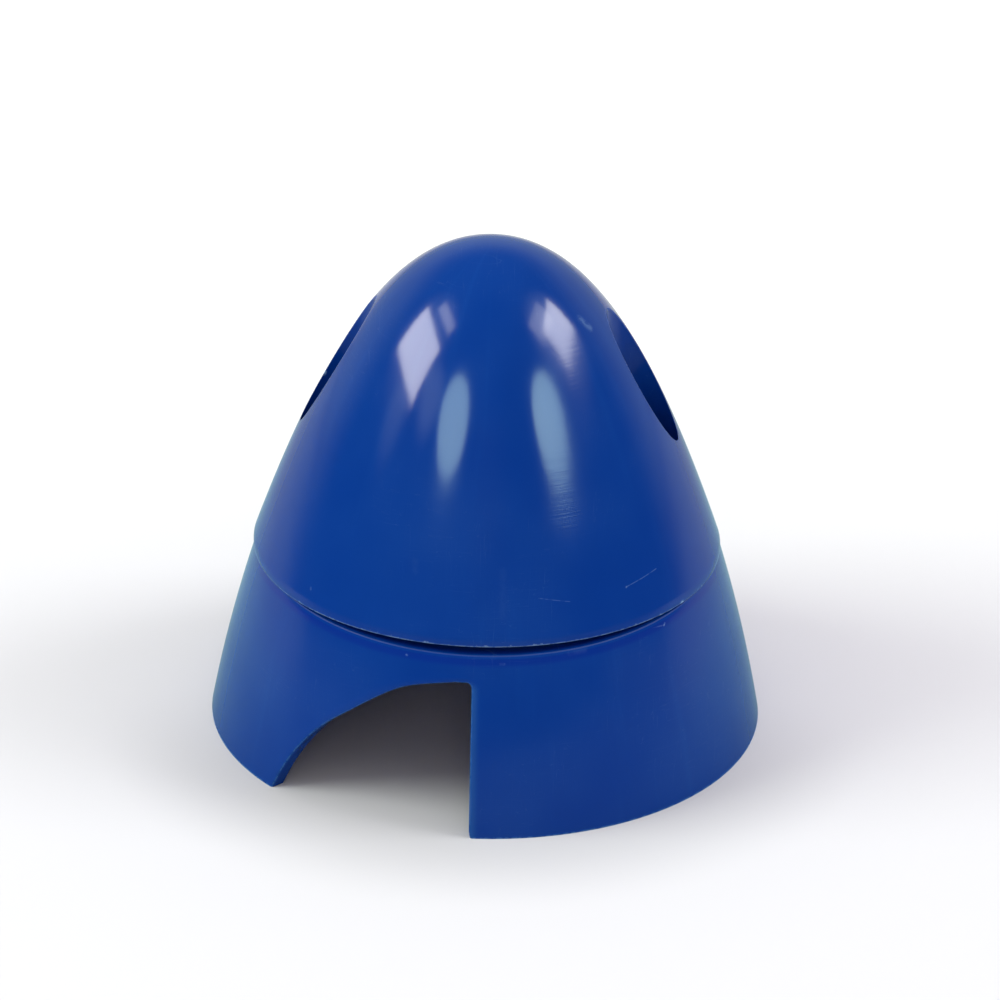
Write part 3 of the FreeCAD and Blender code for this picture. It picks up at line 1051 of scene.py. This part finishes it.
class SkirtBlank:
    """Solid skirt with its spigot, nut seat and rounded blade openings, before it is hollowed."""

    def __init__(self, form, skirt):
        self.form = form
        self.skirt = skirt
        self.flank = SkirtFlank(form, skirt)
        self.shell = Shell()
        self.mean = (form.base_radius + skirt.top_radius) / 2
        self.seam = skirt.blade_azimuth + math.pi / 2
        self.turn = self.seam + np.linspace(0.0, FULL_TURN, form.segments + 1)
        self.lip = self.flank.edge(self.turn) - skirt.top_round
        self.numbers = []
        self.flat = []
        self.bottom = []
        self.plan = []
        self.edges = [circle(form.base_radius, 0.0, 4 * form.segments)]
        self.jambs = []

    def lay(self, turns, levels):
        """Row of points on the flank, which is also laid flat."""
        row = self.shell.ring(self.flank.point(turns, levels))
        self.numbers.extend(row)
        self.flat.append(np.stack([turns * self.mean, levels], axis=1))
        return row

    def lay_foot(self, turns):
        """Level row at the foot of the blank."""
        return self.lay(turns, np.full(len(turns), -BLANK_DROP))

    def tunnel(self, side, opening, outline, wide):
        """Rows of a blade opening, from its side on the flank to its closed end."""
        turns = np.arctan2(outline[:, 0], self.form.base_radius)
        spots = opening + turns
        wide_spots = opening + np.arctan2(wide[:, 0], self.form.base_radius)
        outer = self.flank.point(wide_spots, wide[:, 1])
        pole = self.flank.point(spots, outline[:, 1])
        self.edges.append(pole)
        jamb = across(self.form, self.skirt.jamb_angle) - JAMB_SLACK
        self.jambs.append(pole[outline[:, 0] > jamb])
        inner = self.flank.point(spots, outline[:, 1], self.skirt.cut_round)
        rows = [side] + self.shell.rings(quadratic(outer, pole, inner, CUT_STEPS))
        for depth in WALL_DEPTHS:
            rows.append(self.shell.ring(self.flank.point(spots, outline[:, 1], depth)))
        end = [TUNNEL_END * np.cos(spots), TUNNEL_END * np.sin(spots), outline[:, 1]]
        rows.append(self.shell.ring(np.stack(end, axis=1)))
        self.shell.bands(rows, closed=False)
        cap = np.stack([turns * TUNNEL_END, outline[:, 1]], axis=1)
        self.shell.fill(rows[-1], cap, [rows[-1]])
        return rows

    def cut_openings(self):
        """Foot of the flank with both blade openings; returns their sides, laid flat."""
        outline = arch(self.form, self.skirt, BLANK_DROP)
        wide = widened(outline, self.skirt.cut_round, BLANK_DROP)
        wide_turn = np.arctan2(wide[:, 0], self.form.base_radius)
        space = OPENING_SPACE / self.mean
        reached = self.seam - SAME_TURN
        borders = []
        for opening in (self.skirt.blade_azimuth + math.pi, self.skirt.blade_azimuth + FULL_TURN):
            before = (self.turn >= reached) & (self.turn < opening + wide_turn[0] - space)
            straight = self.lay_foot(self.turn[before])
            side = self.lay(opening + wide_turn, wide[:, 1])
            self.bottom += straight + side
            rows = self.tunnel(side, opening, outline, wide)
            self.plan += straight + [row[0] for row in rows] + [row[-1] for row in rows[::-1]]
            reached = opening + wide_turn[-1] + space
            borders.append(np.stack([(opening + wide_turn) * self.mean, wide[:, 1]], axis=1))
        straight = self.lay_foot(self.turn[self.turn > reached])
        self.bottom += straight
        self.plan += straight[:-1]
        return borders

    def fill_flank(self, borders):
        """The flank round both openings, up to the round of its top edge."""
        count = round((self.form.joint_height + BLANK_DROP) / self.skirt.step)
        first_side, last_side = [], []
        for number in range(1, count):
            levels = -BLANK_DROP + (self.lip + BLANK_DROP) * (number / count)
            spots = np.stack([self.turn * self.mean, levels], axis=1)
            keep = np.ones(len(spots), bool)
            for border in borders:
                away = spots[:, None, :] - border[None, :, :]
                keep &= np.hypot(away[:, :, 0], away[:, :, 1]).min(axis=1) > BORDER_SPACE
                keep &= ~enclosed(spots, zip(border, np.roll(border, -1, axis=0)))
            row = self.lay(self.turn[keep], levels[keep])
            first_side.append(row[0])
            last_side.append(row[-1])
        top = self.lay(self.turn, self.lip)
        border = self.bottom + last_side + top[::-1] + first_side[::-1]
        self.shell.fill(self.numbers, np.concatenate(self.flat), [border])

    def level_ring(self, radius, level):
        """Level circle that begins where the flank does."""
        return circle(radius, level, self.form.segments, start=self.seam)

    def dipped_ring(self, radius):
        """Circle on the skirt's dipped top."""
        ring = self.level_ring(radius, 0.0)
        ring[:, 2] = self.flank.dipped(ring[:, 1])
        return ring

    def close_core(self):
        """Top edge, spigot, web, nut seat and bore; returns the points of the top edge."""
        skirt = self.skirt
        turn = self.turn[:-1]
        start = self.flank.point(turn, self.lip[:-1])
        edge = self.flank.point(turn, self.flank.edge(turn))
        land = self.dipped_ring(np.hypot(edge[:, 0], edge[:, 1]) - skirt.top_round)
        rings = [start] + quadratic(start, edge, land, CUT_STEPS)
        rings.append(self.dipped_ring(skirt.spigot_radius))
        spigot_top = self.form.joint_height + self.form.spigot_height
        web_top = self.form.joint_height - self.form.web_drop
        ring_inside = skirt.spigot_radius - skirt.spigot_wall
        pad_top = web_top + skirt.pad_height
        for radius, level in (
                (skirt.spigot_radius, spigot_top), (ring_inside, spigot_top),
                (ring_inside, web_top), (skirt.pad_radius, web_top), (skirt.pad_radius, pad_top),
                (skirt.shaft_radius, pad_top), (skirt.shaft_radius, -BLANK_DROP)):
            rings.append(self.level_ring(radius, level))
        rows = self.shell.rings(rings)
        self.shell.bands(rows)
        foot = self.plan + rows[-1]
        spots = [self.shell.points[i][:2] for i in foot]
        self.shell.fill(foot, spots, [self.plan, rows[-1]])
        return edge

    def build(self):
        """The mesh, and the lines that its stored distances are measured from."""
        self.fill_flank(self.cut_openings())
        edge = self.close_core()
        gaps = {RIM_GAP: [], EDGE_GAP: self.edges, JAMB_GAP: self.jambs, BAND_GAP: [edge]}
        return self.shell.mesh("skirt_blank"), gaps


def skirt_ribs(tree):
    """Ribs under the web, round one screw and round the other."""
    size = tree.size
    span = size("Rib end") - size("Rib start")
    middle = (size("Rib end") + size("Rib start")) / 2
    tall = size("Web top") - size("Rib level")
    bar = tree.box(span, size("Rib thickness"), tall)
    bar = tree.moved(bar, x=middle, z=size("Rib level") + tall / 2)
    x, _, z = tree.parts(tree.add("GeometryNodeInputPosition"))
    low = tree.math("LESS_THAN", z, size("Rib level") + tall / 2)
    rise = (x - size("Hub radius")) * size("Rib slope") * low
    bar = tree.add(
        "GeometryNodeSetPosition", None, {"Geometry": bar, "Offset": tree.vector(0.0, 0.0, rise)})
    turns = {"Index": tree.add("GeometryNodeInputIndex")}
    turns.update({str(i): math.radians(offset) for i, offset in enumerate(RIB_OFFSETS)})
    turn = tree.add(
        "GeometryNodeIndexSwitch", {"data_type": "FLOAT", "items": len(RIB_OFFSETS)}, turns)
    spots = tree.add("GeometryNodePoints", None, {"Count": len(RIB_OFFSETS)})
    ribs = tree.add(
        "GeometryNodeInstanceOnPoints", None,
        {"Points": spots, "Instance": bar,
         "Rotation": tree.vector(0.0, 0.0, turn + size("Screw azimuth"))})
    ribs = tree.add("GeometryNodeRealizeInstances", None, {"Geometry": ribs})
    return ribs, tree.moved(ribs, turn=math.pi)


def hollow_skirt(form, skirt, blank, material):
    """Cut the inside of the skirt, leaving the web, the hub, the bosses and the ribs."""
    slope = (form.base_radius - skirt.top_radius) / form.joint_height
    foot_radius = form.base_radius - skirt.wall * math.hypot(1.0, slope)
    web_top = form.joint_height - form.web_drop
    web_bottom = web_top - form.web_thickness
    rib_slope = (skirt.rib_wall_level - skirt.rib_hub_level) / (
        skirt.top_radius - skirt.wall - skirt.hub_radius)
    tree = Form("hollow_skirt", {
        "Foot radius": foot_radius + slope * CUT_REACH,
        "Web radius": foot_radius - slope * web_bottom,
        "Below": -CUT_REACH,
        "Web bottom": web_bottom,
        "Web top": web_top,
        "Above": form.joint_height + form.spigot_height + CUT_REACH,
        "Hub radius": skirt.hub_radius,
        "Hub bottom": skirt.hub_bottom,
        "Boss radius": skirt.boss_radius,
        "Boss bottom": skirt.boss_bottom,
        "Pilot radius": skirt.pilot_radius,
        "Pocket radius": form.column_radius + skirt.pocket_gap,
        "Screw circle": form.screw_circle,
        "Screw azimuth": form.screw_azimuth,
        "Rib thickness": skirt.rib_thickness,
        "Rib start": skirt.hub_radius - RIB_ROOT,
        "Rib end": form.base_radius,
        "Rib level": skirt.rib_hub_level,
        "Rib slope": rib_slope,
    })
    size = tree.size
    upper = size("Web top")
    cone = tree.turned([
        (0.0, size("Below")), (size("Foot radius"), size("Below")),
        (size("Web radius"), size("Web bottom")), (0.0, size("Web bottom"))], CONE_SEGMENTS)
    hub = tree.cylinder(size("Hub radius"), size("Hub bottom"), upper, DOME_SEGMENTS)
    boss = tree.cylinder(size("Boss radius"), size("Boss bottom"), upper, BOSS_SEGMENTS)
    pilot_bottom = size("Boss bottom") - CUT_REACH
    pilot = tree.cylinder(size("Pilot radius"), pilot_bottom, size("Above"), PILOT_SEGMENTS)
    pocket = tree.cylinder(size("Pocket radius"), upper, size("Above"), COLUMN_SEGMENTS)
    ribs, other_ribs = skirt_ribs(tree)
    bosses = tree.pair(boss)
    pilots = tree.pair(pilot)
    pockets = tree.pair(pocket)
    ground = tree.box(size("Rib end") * 4, size("Rib end") * 4, -2.0 * size("Below"))
    ground = tree.moved(ground, z=size("Below"))
    room = tree.cut(cone, hub, bosses, ribs, other_ribs)
    done = tree.cut(size("Geometry"), room, pilots, pockets, ground)
    tree.finish(done, material)
    return tree.run("skirt_shell", blank)


def seated_screws(form, nose, screw, material):
    """Both screws: pan heads with a cross recess over a threaded shank."""
    seat = nose.well_floor
    tree = Form("seated_screws", {
        "Seat": seat,
        "Head radius": screw.head_radius,
        "Head side": seat + screw.head_side,
        "Head top": seat + screw.head_height,
        "Core radius": screw.core_radius,
        "Thread radius": screw.thread_radius,
        "Tip": seat - screw.shank,
        "Tip shoulder": seat - screw.shank + screw.tip,
        "Pitch": screw.pitch,
        "Recess length": screw.recess_length,
        "Recess width": screw.recess_width,
        "Recess floor": seat + screw.head_height - screw.recess_depth,
        "Screw circle": form.screw_circle,
        "Screw azimuth": form.screw_azimuth,
    })
    size = tree.size
    corners = [
        (0.0, size("Tip")), (size("Core radius") * POINT_SHARE, size("Tip")),
        (size("Core radius"), size("Tip shoulder")),
        (size("Core radius"), size("Seat") - NECK_FOOT),
        (size("Thread radius") * NECK_SHARE, size("Seat") - NECK_TOP),
        (size("Thread radius") * NECK_SHARE, size("Seat")),
        (size("Head radius") * SEAT_SHARE, size("Seat")),
        (size("Head radius"), size("Seat") + HEAD_LIP)]
    rise = size("Head top") - size("Head side")
    for step in range(HEAD_STEPS + 1):
        lean = math.radians(90.0 * step / HEAD_STEPS)
        corners.append((
            size("Head radius") * max(0.0, math.cos(lean)),
            size("Head side") + rise * math.sin(lean)))
    body = tree.turned(corners, SCREW_SEGMENTS)
    turns = (screw.shank - screw.tip - THREAD_END) / screw.pitch
    spiral = tree.add(
        "GeometryNodeCurveSpiral", None,
        {"Resolution": SPIRAL_POINTS, "Rotations": turns, "Start Radius": size("Core radius"),
         "End Radius": size("Core radius"), "Height": size("Pitch") * turns})
    spiral = tree.moved(spiral, z=size("Tip shoulder"))
    depth = size("Thread radius") - size("Core radius")
    ridge = tree.add(
        "GeometryNodeCurvePrimitiveCircle", {"mode": "RADIUS"},
        {"Resolution": RIDGE_POINTS, "Radius": depth * RIDGE_SHARE})
    ridge = tree.add(
        "GeometryNodeTransform", None, {"Geometry": ridge, "Scale": RIDGE_SCALE})
    thread = tree.add(
        "GeometryNodeCurveToMesh", None,
        {"Curve": spiral, "Profile Curve": ridge, "Fill Caps": True})
    body = tree.united(body, thread)
    slot_depth = size("Recess floor") + SLOT_HEIGHT / 2
    slot = tree.box(size("Recess length"), size("Recess width"), SLOT_HEIGHT)
    slot = tree.moved(slot, z=slot_depth)
    cross = tree.moved(slot, turn=math.pi / 2)
    body = tree.cut(body, slot, cross)
    tree.finish(tree.pair(body), material)
    return tree.run("seated_screws", bpy.data.meshes.new("empty"))


def store_gaps(mesh, gaps):
    """Store how far each point of a mesh lies from several sets of lines."""
    for name, lines in gaps.items():
        values = np.ones(len(mesh.vertices))
        if lines:
            points = np.concatenate(lines)
            tree = kdtree.KDTree(len(points))
            for i, point in enumerate(points):
                tree.insert(point, i)
            tree.balance()
            values = [tree.find(vertex.co)[2] for vertex in mesh.vertices]
        mesh.attributes.new(name, "FLOAT", "POINT").data.foreach_set("value", values)


def finished(piece, body, slot, *nodes, crease=CREASE):
    """Smooth a piece between its creases, hang it under its body's empty and hide the CAD nodes
    that it replaces.
    """
    mesh = piece.data
    mesh.shade_smooth()
    mesh.set_sharp_from_angle(angle=math.radians(crease))
    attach(piece, body)
    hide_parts(*nodes)


def new_material(name):
    """Empty node material and its tree."""
    material = bpy.data.materials.new(name)
    material.use_nodes = True
    material.node_tree.nodes.clear()
    return material, Nodes(material.node_tree)


def close_material(nodes, shader):
    """Join a shader to the material's output."""
    out = nodes.tree.nodes.new("ShaderNodeOutputMaterial")
    nodes.feed(out.inputs["Surface"], shader)


def object_place(nodes):
    """Place on the piece in millimetres, as a vector and as x, y and z."""
    place = nodes.add("ShaderNodeTexCoord", None, None, "Object")
    place = nodes.scaled(place, 1.0 / MM)
    return place, *nodes.parts(place)


def scratch_lines(nodes, place, turn, stretch, width, patch):
    """Thin long lines in one direction, where the patch lets them."""
    turned = nodes.add(
        "ShaderNodeMapping", None, {"Vector": place, "Rotation": turn, "Scale": stretch})
    field = nodes.noise(turned, *SCRATCH)
    return nodes.ramp(nodes.math("ABSOLUTE", field - 0.5), 0.0, width, 1.0, 0.0) * patch


def drawn_marks_and_glints(nodes, place, marks):
    """Single marks and painted highlights, each given by its corners, half width and strength."""
    total = 0.0
    for corners, width, strength in marks:
        for start, end in zip(corners[:-1], corners[1:]):
            gap = nodes.distance(place, start, end)
            total = nodes.math(
                "MAXIMUM", nodes.ramp(gap, 0.0, width, strength, 0.0), total)
    return total


def wound(nodes, around, turns, rise):
    """Place for noise that is laid round the axis."""
    across, along, z = around
    return nodes.vector(across * turns, along * turns, z * rise)


def moulded_colour_and_lip_shade(nodes, finish, around, streaks, cloud, band_gap):
    """Body colour with paler flow marks, and a band of painted shade under the skirt's top edge,
    where the nose rim overhangs it.
    """
    flow = nodes.noise(wound(nodes, around, streaks, FLOW_RISE), *FLOW)
    flow = nodes.ramp(flow, *FLOW_SEEN)
    bloom = nodes.ramp(cloud, *CLOUD_BLOOM) + flow * FLOW_SHARE
    base = nodes.mixed(bloom, finish.plastic, finish.bloom)
    # painted shade: darker band just under the skirt's top edge, below the nose rim
    band = nodes.ramp(band_gap, *LIP_SHADE_START) * nodes.ramp(band_gap, *LIP_SHADE_END)
    return nodes.mixed(band * LIP_SHADE_SHARE, base, finish.band)


def plastic_material(finish, name, edge_wear_and_highlight, whitening, streaks, marks, scuff):
    """Gloss moulded plastic with flow marks, scratches, scuffs and worn edges, with painted
    highlight along the edges, a painted highlight among the nose's marks and a band of painted
    shade under the skirt's top edge.
    """
    material, nodes = new_material(name)
    place, x, y, z = object_place(nodes)
    radius = nodes.math("MAXIMUM", nodes.math("SQRT", x * x + y * y), TIP_RADIUS)
    around = (x / radius, y / radius, z)
    rim_gap, edge_gap, jamb_gap, band_gap = (
        nodes.attribute(gap) for gap in (RIM_GAP, EDGE_GAP, JAMB_GAP, BAND_GAP))

    cloud = nodes.noise(place, *CLOUD)
    base = moulded_colour_and_lip_shade(nodes, finish, around, streaks, cloud, band_gap)
    grain = nodes.noise(place, *GRAIN)
    # grain that breaks up the wear and the painted highlights
    worn = nodes.ramp(grain, *WEAR_AND_HIGHLIGHT_GRAIN)
    # paler cut edges, partly wear and partly painted highlight; the openings' upright sides are
    # painted highlight alone
    edge = nodes.ramp(edge_gap, *CUT_EDGE) * worn
    edge = nodes.math("MAXIMUM", edge, nodes.ramp(jamb_gap, *JAMB_HIGHLIGHT))
    base = nodes.mixed(edge, base, edge_wear_and_highlight)

    patch = nodes.ramp(cloud, *SCRATCHED_CLOUD)
    steep = scratch_lines(nodes, place, *STEEP_SCRATCH, patch)
    cross = scratch_lines(nodes, place, *CROSS_SCRATCH, patch)
    scratches = nodes.math("MAXIMUM", steep, cross)

    front = nodes.ramp(y, *FRONT_WEAR)
    rim = nodes.ramp(rim_gap, *RIM_WEAR) * worn * front
    flecks = nodes.ramp(grain, *FLECK_GRAIN) * nodes.ramp(rim_gap, *FLECK_REACH)
    # marks, and on the nose a painted highlight, all mixed towards the whitened colour
    drawn = drawn_marks_and_glints(nodes, place, marks) * worn
    pale = nodes.math("MAXIMUM", nodes.math("MAXIMUM", rim, flecks) * whitening, drawn)
    pale = nodes.math("MAXIMUM", pale, scratches * SCRATCH_SHARE)
    shade = nodes.mixed(pale, base, finish.whitened_and_glint)

    ripples = nodes.noise(wound(nodes, around, RIPPLE_TURNS, RIPPLE_RISE), *RIPPLE)
    scuffed = nodes.ramp(nodes.distance(place, *scuff), *SCUFF_REACH)
    peel = nodes.noise(place, *PEEL)
    height = (
        peel * PEEL_HEIGHT + ripples * scuffed * RIPPLE_HEIGHT - scratches * SCRATCH_DEPTH
        + rim * grain * RIM_HEIGHT + drawn * MARK_HEIGHT)
    bump = nodes.add(
        "ShaderNodeBump", None, {"Strength": 1.0, "Distance": MM, "Height": height})
    roughness = (
        GLOSS_ROUGHNESS + nodes.ramp(cloud, *CLOUD_ROUGHNESS)
        + scratches * SCRATCH_ROUGHNESS + pale * PALE_ROUGHNESS
        + edge * EDGE_ROUGHNESS + scuffed * SCUFF_ROUGHNESS
        + nodes.ramp(band_gap, *LIP_ROUGHNESS))
    shader = nodes.add(
        "ShaderNodeBsdfPrincipled", None,
        {"Base Color": shade, "Roughness": roughness, "Normal": bump, "IOR": finish.gloss})
    close_material(nodes, shader)
    return material


def steel_material(finish):
    """Zinc-plated steel with brushed heads and dull patches."""
    material, nodes = new_material("zinc_plated_steel")
    place, x, y, z = object_place(nodes)
    grain = nodes.noise(nodes.vector(x * BRUSH_ACROSS, y * BRUSH_ALONG, z * BRUSH_ACROSS), *BRUSH)
    patch = nodes.noise(place, *ZINC)
    dull = tuple(c * k for c, k in zip(finish.steel, DULL_STEEL))
    shade = nodes.mixed(nodes.ramp(patch, *DULL_PATCH), finish.steel, dull)
    dull_roughness = nodes.ramp(patch, *DULL_ROUGHNESS)
    roughness = STEEL_ROUGHNESS + dull_roughness + grain * BRUSH_ROUGHNESS
    bump = nodes.add(
        "ShaderNodeBump", None, {"Strength": 1.0, "Distance": MM, "Height": grain * BRUSH_HEIGHT})
    shader = nodes.add(
        "ShaderNodeBsdfPrincipled", None,
        {"Base Color": shade, "Roughness": roughness, "Metallic": 1.0, "Normal": bump})
    close_material(nodes, shader)
    return material


class SPINNER_OT_nose(bpy.types.Operator):
    """Build the nose cone"""

    bl_idname = "spinner.nose"
    bl_label = "Build nose cone"

    def execute(self, context):
        scene = context.scene
        finish = scene.spinner_finish
        material = plastic_material(
            finish, "blue_nose_plastic", finish.nose_edge_wear_and_highlight, *NOSE_WEAR, NOSE_MARKS_AND_GLINT, NOSE_SCUFF)
        blank, gaps = nose_blank(scene.spinner_form, scene.spinner_nose)
        piece = hollow_nose(scene.spinner_form, scene.spinner_nose, blank, material)
        store_gaps(piece.data, gaps)
        piece.data.transform(Matrix.Translation((-scene.spinner_nose.shift, 0.0, 0.0)))
        finished(piece, "root", "shell", "nose_cone")
        return {"FINISHED"}


class SPINNER_OT_skirt(bpy.types.Operator):
    """Build the blade skirt"""

    bl_idname = "spinner.skirt"
    bl_label = "Build blade skirt"

    def execute(self, context):
        scene = context.scene
        finish = scene.spinner_finish
        material = plastic_material(
            finish, "blue_skirt_plastic", finish.skirt_edge_wear_and_highlight, *SKIRT_WEAR, SKIRT_MARKS, SKIRT_SCUFF)
        blank, gaps = SkirtBlank(scene.spinner_form, scene.spinner_skirt).build()
        piece = hollow_skirt(scene.spinner_form, scene.spinner_skirt, blank, material)
        store_gaps(piece.data, gaps)
        finished(piece, "root", "shell", "blade_skirt")
        return {"FINISHED"}


class SPINNER_OT_screws(bpy.types.Operator):
    """Build the two screws"""

    bl_idname = "spinner.screws"
    bl_label = "Build screws"

    def execute(self, context):
        scene = context.scene
        material = steel_material(scene.spinner_finish)
        piece = seated_screws(
            scene.spinner_form, scene.spinner_nose, scene.spinner_screw, material)
        finished(piece, "root", "screw", "screw_right", "screw_left")
        return {"FINISHED"}


def direction(azimuth, elevation):
    """Unit vector for an azimuth from -Y towards +X and an elevation, in degrees."""
    a, e = math.radians(azimuth), math.radians(elevation)
    return Vector((math.sin(a) * math.cos(e), -math.cos(a) * math.cos(e), math.sin(e)))


def add_lamp(studio, name, azimuth, elevation, width, tall, shine, light, glint, tint, disc):
    """Area lamp a metre away, as one that is seen in the gloss and one that gives the light."""
    area = width * tall * (math.pi / 4 if disc else 1.0)
    back = direction(azimuth, elevation)
    for part, radiance, shade in (("shine", shine, glint), ("light", light, tint)):
        lamp = bpy.data.lights.new(f"{name}_{part}", "AREA")
        lamp.shape = "ELLIPSE" if disc else "RECTANGLE"
        lamp.size = width
        lamp.size_y = tall
        lamp.energy = radiance * math.pi * area * studio.lamp_level
        lamp.color = shade
        holder = placed(lamp.name, lamp)
        holder.location = Vector(LAMP_CENTRE) + back
        holder.rotation_euler = (-back).to_track_quat("-Z", "Y").to_euler()
        holder.visible_glossy = part == "shine"
        holder.visible_diffuse = part == "light"


def add_floor(studio):
    """White floor with a painted contact shadow near the spinner and painted light that brightens
    it towards the back; its colour in reflections differs from what the camera sees.
    """
    mesh = bpy.data.meshes.new("floor")
    work = bmesh.new()
    bmesh.ops.create_grid(work, x_segments=8, y_segments=8, size=FLOOR_REACH)
    work.to_mesh(mesh)
    work.free()
    floor = placed("floor", mesh)
    material, nodes = new_material("white_floor")
    mirrored = nodes.add("ShaderNodeLightPath", None, None, "Is Glossy Ray")
    across, depth = object_place(nodes)[1:3]
    # painted light: the floor grows brighter towards the back
    plain = nodes.mixed(nodes.ramp(depth, *FAR_FLOOR), studio.floor, studio.painted_light_far_floor)
    reach = nodes.math("SQRT", across * across + depth * depth)
    # painted shadow: darker floor close round the spinner's front
    contact = nodes.ramp(reach, *CONTACT_SHADOW_REACH, 1.0, 0.0)
    contact = contact * nodes.ramp(depth, *CONTACT_SHADOW_DEPTH, 1.0, 0.0)
    plain = nodes.mixed(contact, plain, studio.painted_contact_shadow)
    glossy = nodes.mixed(
        nodes.ramp(reach, *NEAR_MIRRORED), studio.near_reflection, studio.far_reflection)
    glossy = nodes.mixed(nodes.ramp(depth, *FRONT_MIRRORED), studio.front_reflection, glossy)
    side = nodes.ramp(reach, *SIDE_MIRRORED)
    side = side * nodes.ramp(depth / reach, *SIDE_SHARE, 1.0, 0.0)
    glossy = nodes.mixed(side, glossy, studio.side_reflection)
    behind = depth - nodes.math("ABSOLUTE", across) * BACK_SPREAD
    glossy = nodes.mixed(nodes.ramp(behind, *BACK_MIRRORED), glossy, studio.back_reflection)
    shader = nodes.add(
        "ShaderNodeBsdfDiffuse", None, {"Color": nodes.mixed(mirrored, plain, glossy)})
    close_material(nodes, shader)
    mesh.materials.append(material)


def add_world(scene, studio):
    """Surroundings: soft glows in the gloss, even light on matt surfaces, white to the camera."""
    world = bpy.data.worlds.new("pale_studio")
    scene.world = world
    world.use_nodes = True
    nodes = Nodes(world.node_tree)
    world.node_tree.nodes.clear()
    place = nodes.add("ShaderNodeTexCoord", None, None, "Generated")
    _, y, z = nodes.parts(place)
    back = nodes.ramp(y, *BEHIND)
    low = nodes.ramp(z, *UPWARDS, 1.0, TOP_SHINE)
    mirrored = (HORIZON_SHINE + back * BACK_SHINE) * low
    for azimuth, elevation, inner, outer, glow in GLOWS:
        near = nodes.vector_math("DOT_PRODUCT", place, direction(azimuth, elevation), "Value")
        mirrored = mirrored + nodes.ramp(
            near, math.cos(math.radians(outer)), math.cos(math.radians(inner)), 0.0, glow)
    mirrored = mirrored * studio.surround_level
    ambient = nodes.ramp(z, 0.0, 1.0, studio.ambient_low, studio.ambient_high)
    path = nodes.add("ShaderNodeLightPath", None, None, "Is Glossy Ray")
    seen = path.output("Is Camera Ray")
    strength = mirrored * path + ambient * (1.0 - path)
    strength = strength * (1.0 - seen) + seen
    shade = nodes.mixed(path, (1.0, 1.0, 1.0), GLOSSY_SKY)
    shader = nodes.add("ShaderNodeBackground", None, {"Color": shade, "Strength": strength})
    out = nodes.tree.nodes.new("ShaderNodeOutputWorld")
    nodes.feed(out.inputs["Surface"], shader)


def add_camera(scene):
    """Camera at the photo's place."""
    camera = bpy.data.cameras.new("camera")
    camera.lens = CAMERA_LENS
    camera.sensor_width = SENSOR_WIDTH
    holder = placed("camera", camera)
    tilt = Matrix.Rotation(math.radians(CAMERA_TILT), 4, "X")
    roll = Matrix.Rotation(math.radians(CAMERA_ROLL), 4, "Z")
    place = Matrix.Translation(Vector(CAMERA_PLACE) * MM)
    holder.matrix_world = place @ tilt @ roll
    scene.camera = holder


class SPINNER_OT_studio(bpy.types.Operator):
    """Set up the floor, the lamps, the surroundings and the camera"""

    bl_idname = "spinner.studio"
    bl_label = "Set up studio"

    def execute(self, context):
        scene = context.scene
        studio = scene.spinner_studio
        scene.view_settings.view_transform = "Standard"
        add_floor(studio)
        for lamp in LAMPS:
            add_lamp(studio, *lamp)
        add_world(scene, studio)
        add_camera(scene)
        return {"FINISHED"}


class SPINNER_PT_panel(bpy.types.Panel):
    """Sizes, colours and steps of the spinner"""

    bl_idname = "SPINNER_PT_panel"
    bl_label = "Propeller Spinner"
    bl_space_type = "VIEW_3D"
    bl_region_type = "UI"
    bl_category = "Spinner"

    def draw(self, context):
        layout = self.layout
        scene = context.scene
        for key in GROUPS:
            group = getattr(scene, key)
            box = layout.box()
            for name in group.__annotations__:
                box.prop(group, name)
        for step in STEPS:
            layout.operator(step.bl_idname)


STEPS = (SPINNER_OT_nose, SPINNER_OT_skirt, SPINNER_OT_screws, SPINNER_OT_studio)
GROUPS = {
    "spinner_form": SpinnerForm,
    "spinner_nose": NoseForm,
    "spinner_skirt": SkirtForm,
    "spinner_screw": ScrewForm,
    "spinner_finish": SpinnerFinish,
    "spinner_studio": SpinnerStudio,
}


def register():
    """Add the classes and the scene's properties."""
    for group in GROUPS.values():
        bpy.utils.register_class(group)
    for step in STEPS:
        bpy.utils.register_class(step)
    bpy.utils.register_class(SPINNER_PT_panel)
    for name, group in GROUPS.items():
        setattr(bpy.types.Scene, name, PointerProperty(type=group))


def unregister():
    """Remove them again."""
    for name in GROUPS:
        delattr(bpy.types.Scene, name)
    bpy.utils.unregister_class(SPINNER_PT_panel)
    for step in STEPS:
        bpy.utils.unregister_class(step)
    for group in GROUPS.values():
        bpy.utils.unregister_class(group)


def main():
    """Build the spinner and its studio."""
    register()
    bpy.ops.spinner.nose()
    bpy.ops.spinner.skirt()
    bpy.ops.spinner.screws()
    bpy.ops.spinner.studio()


if __name__ == "__main__":
    main()
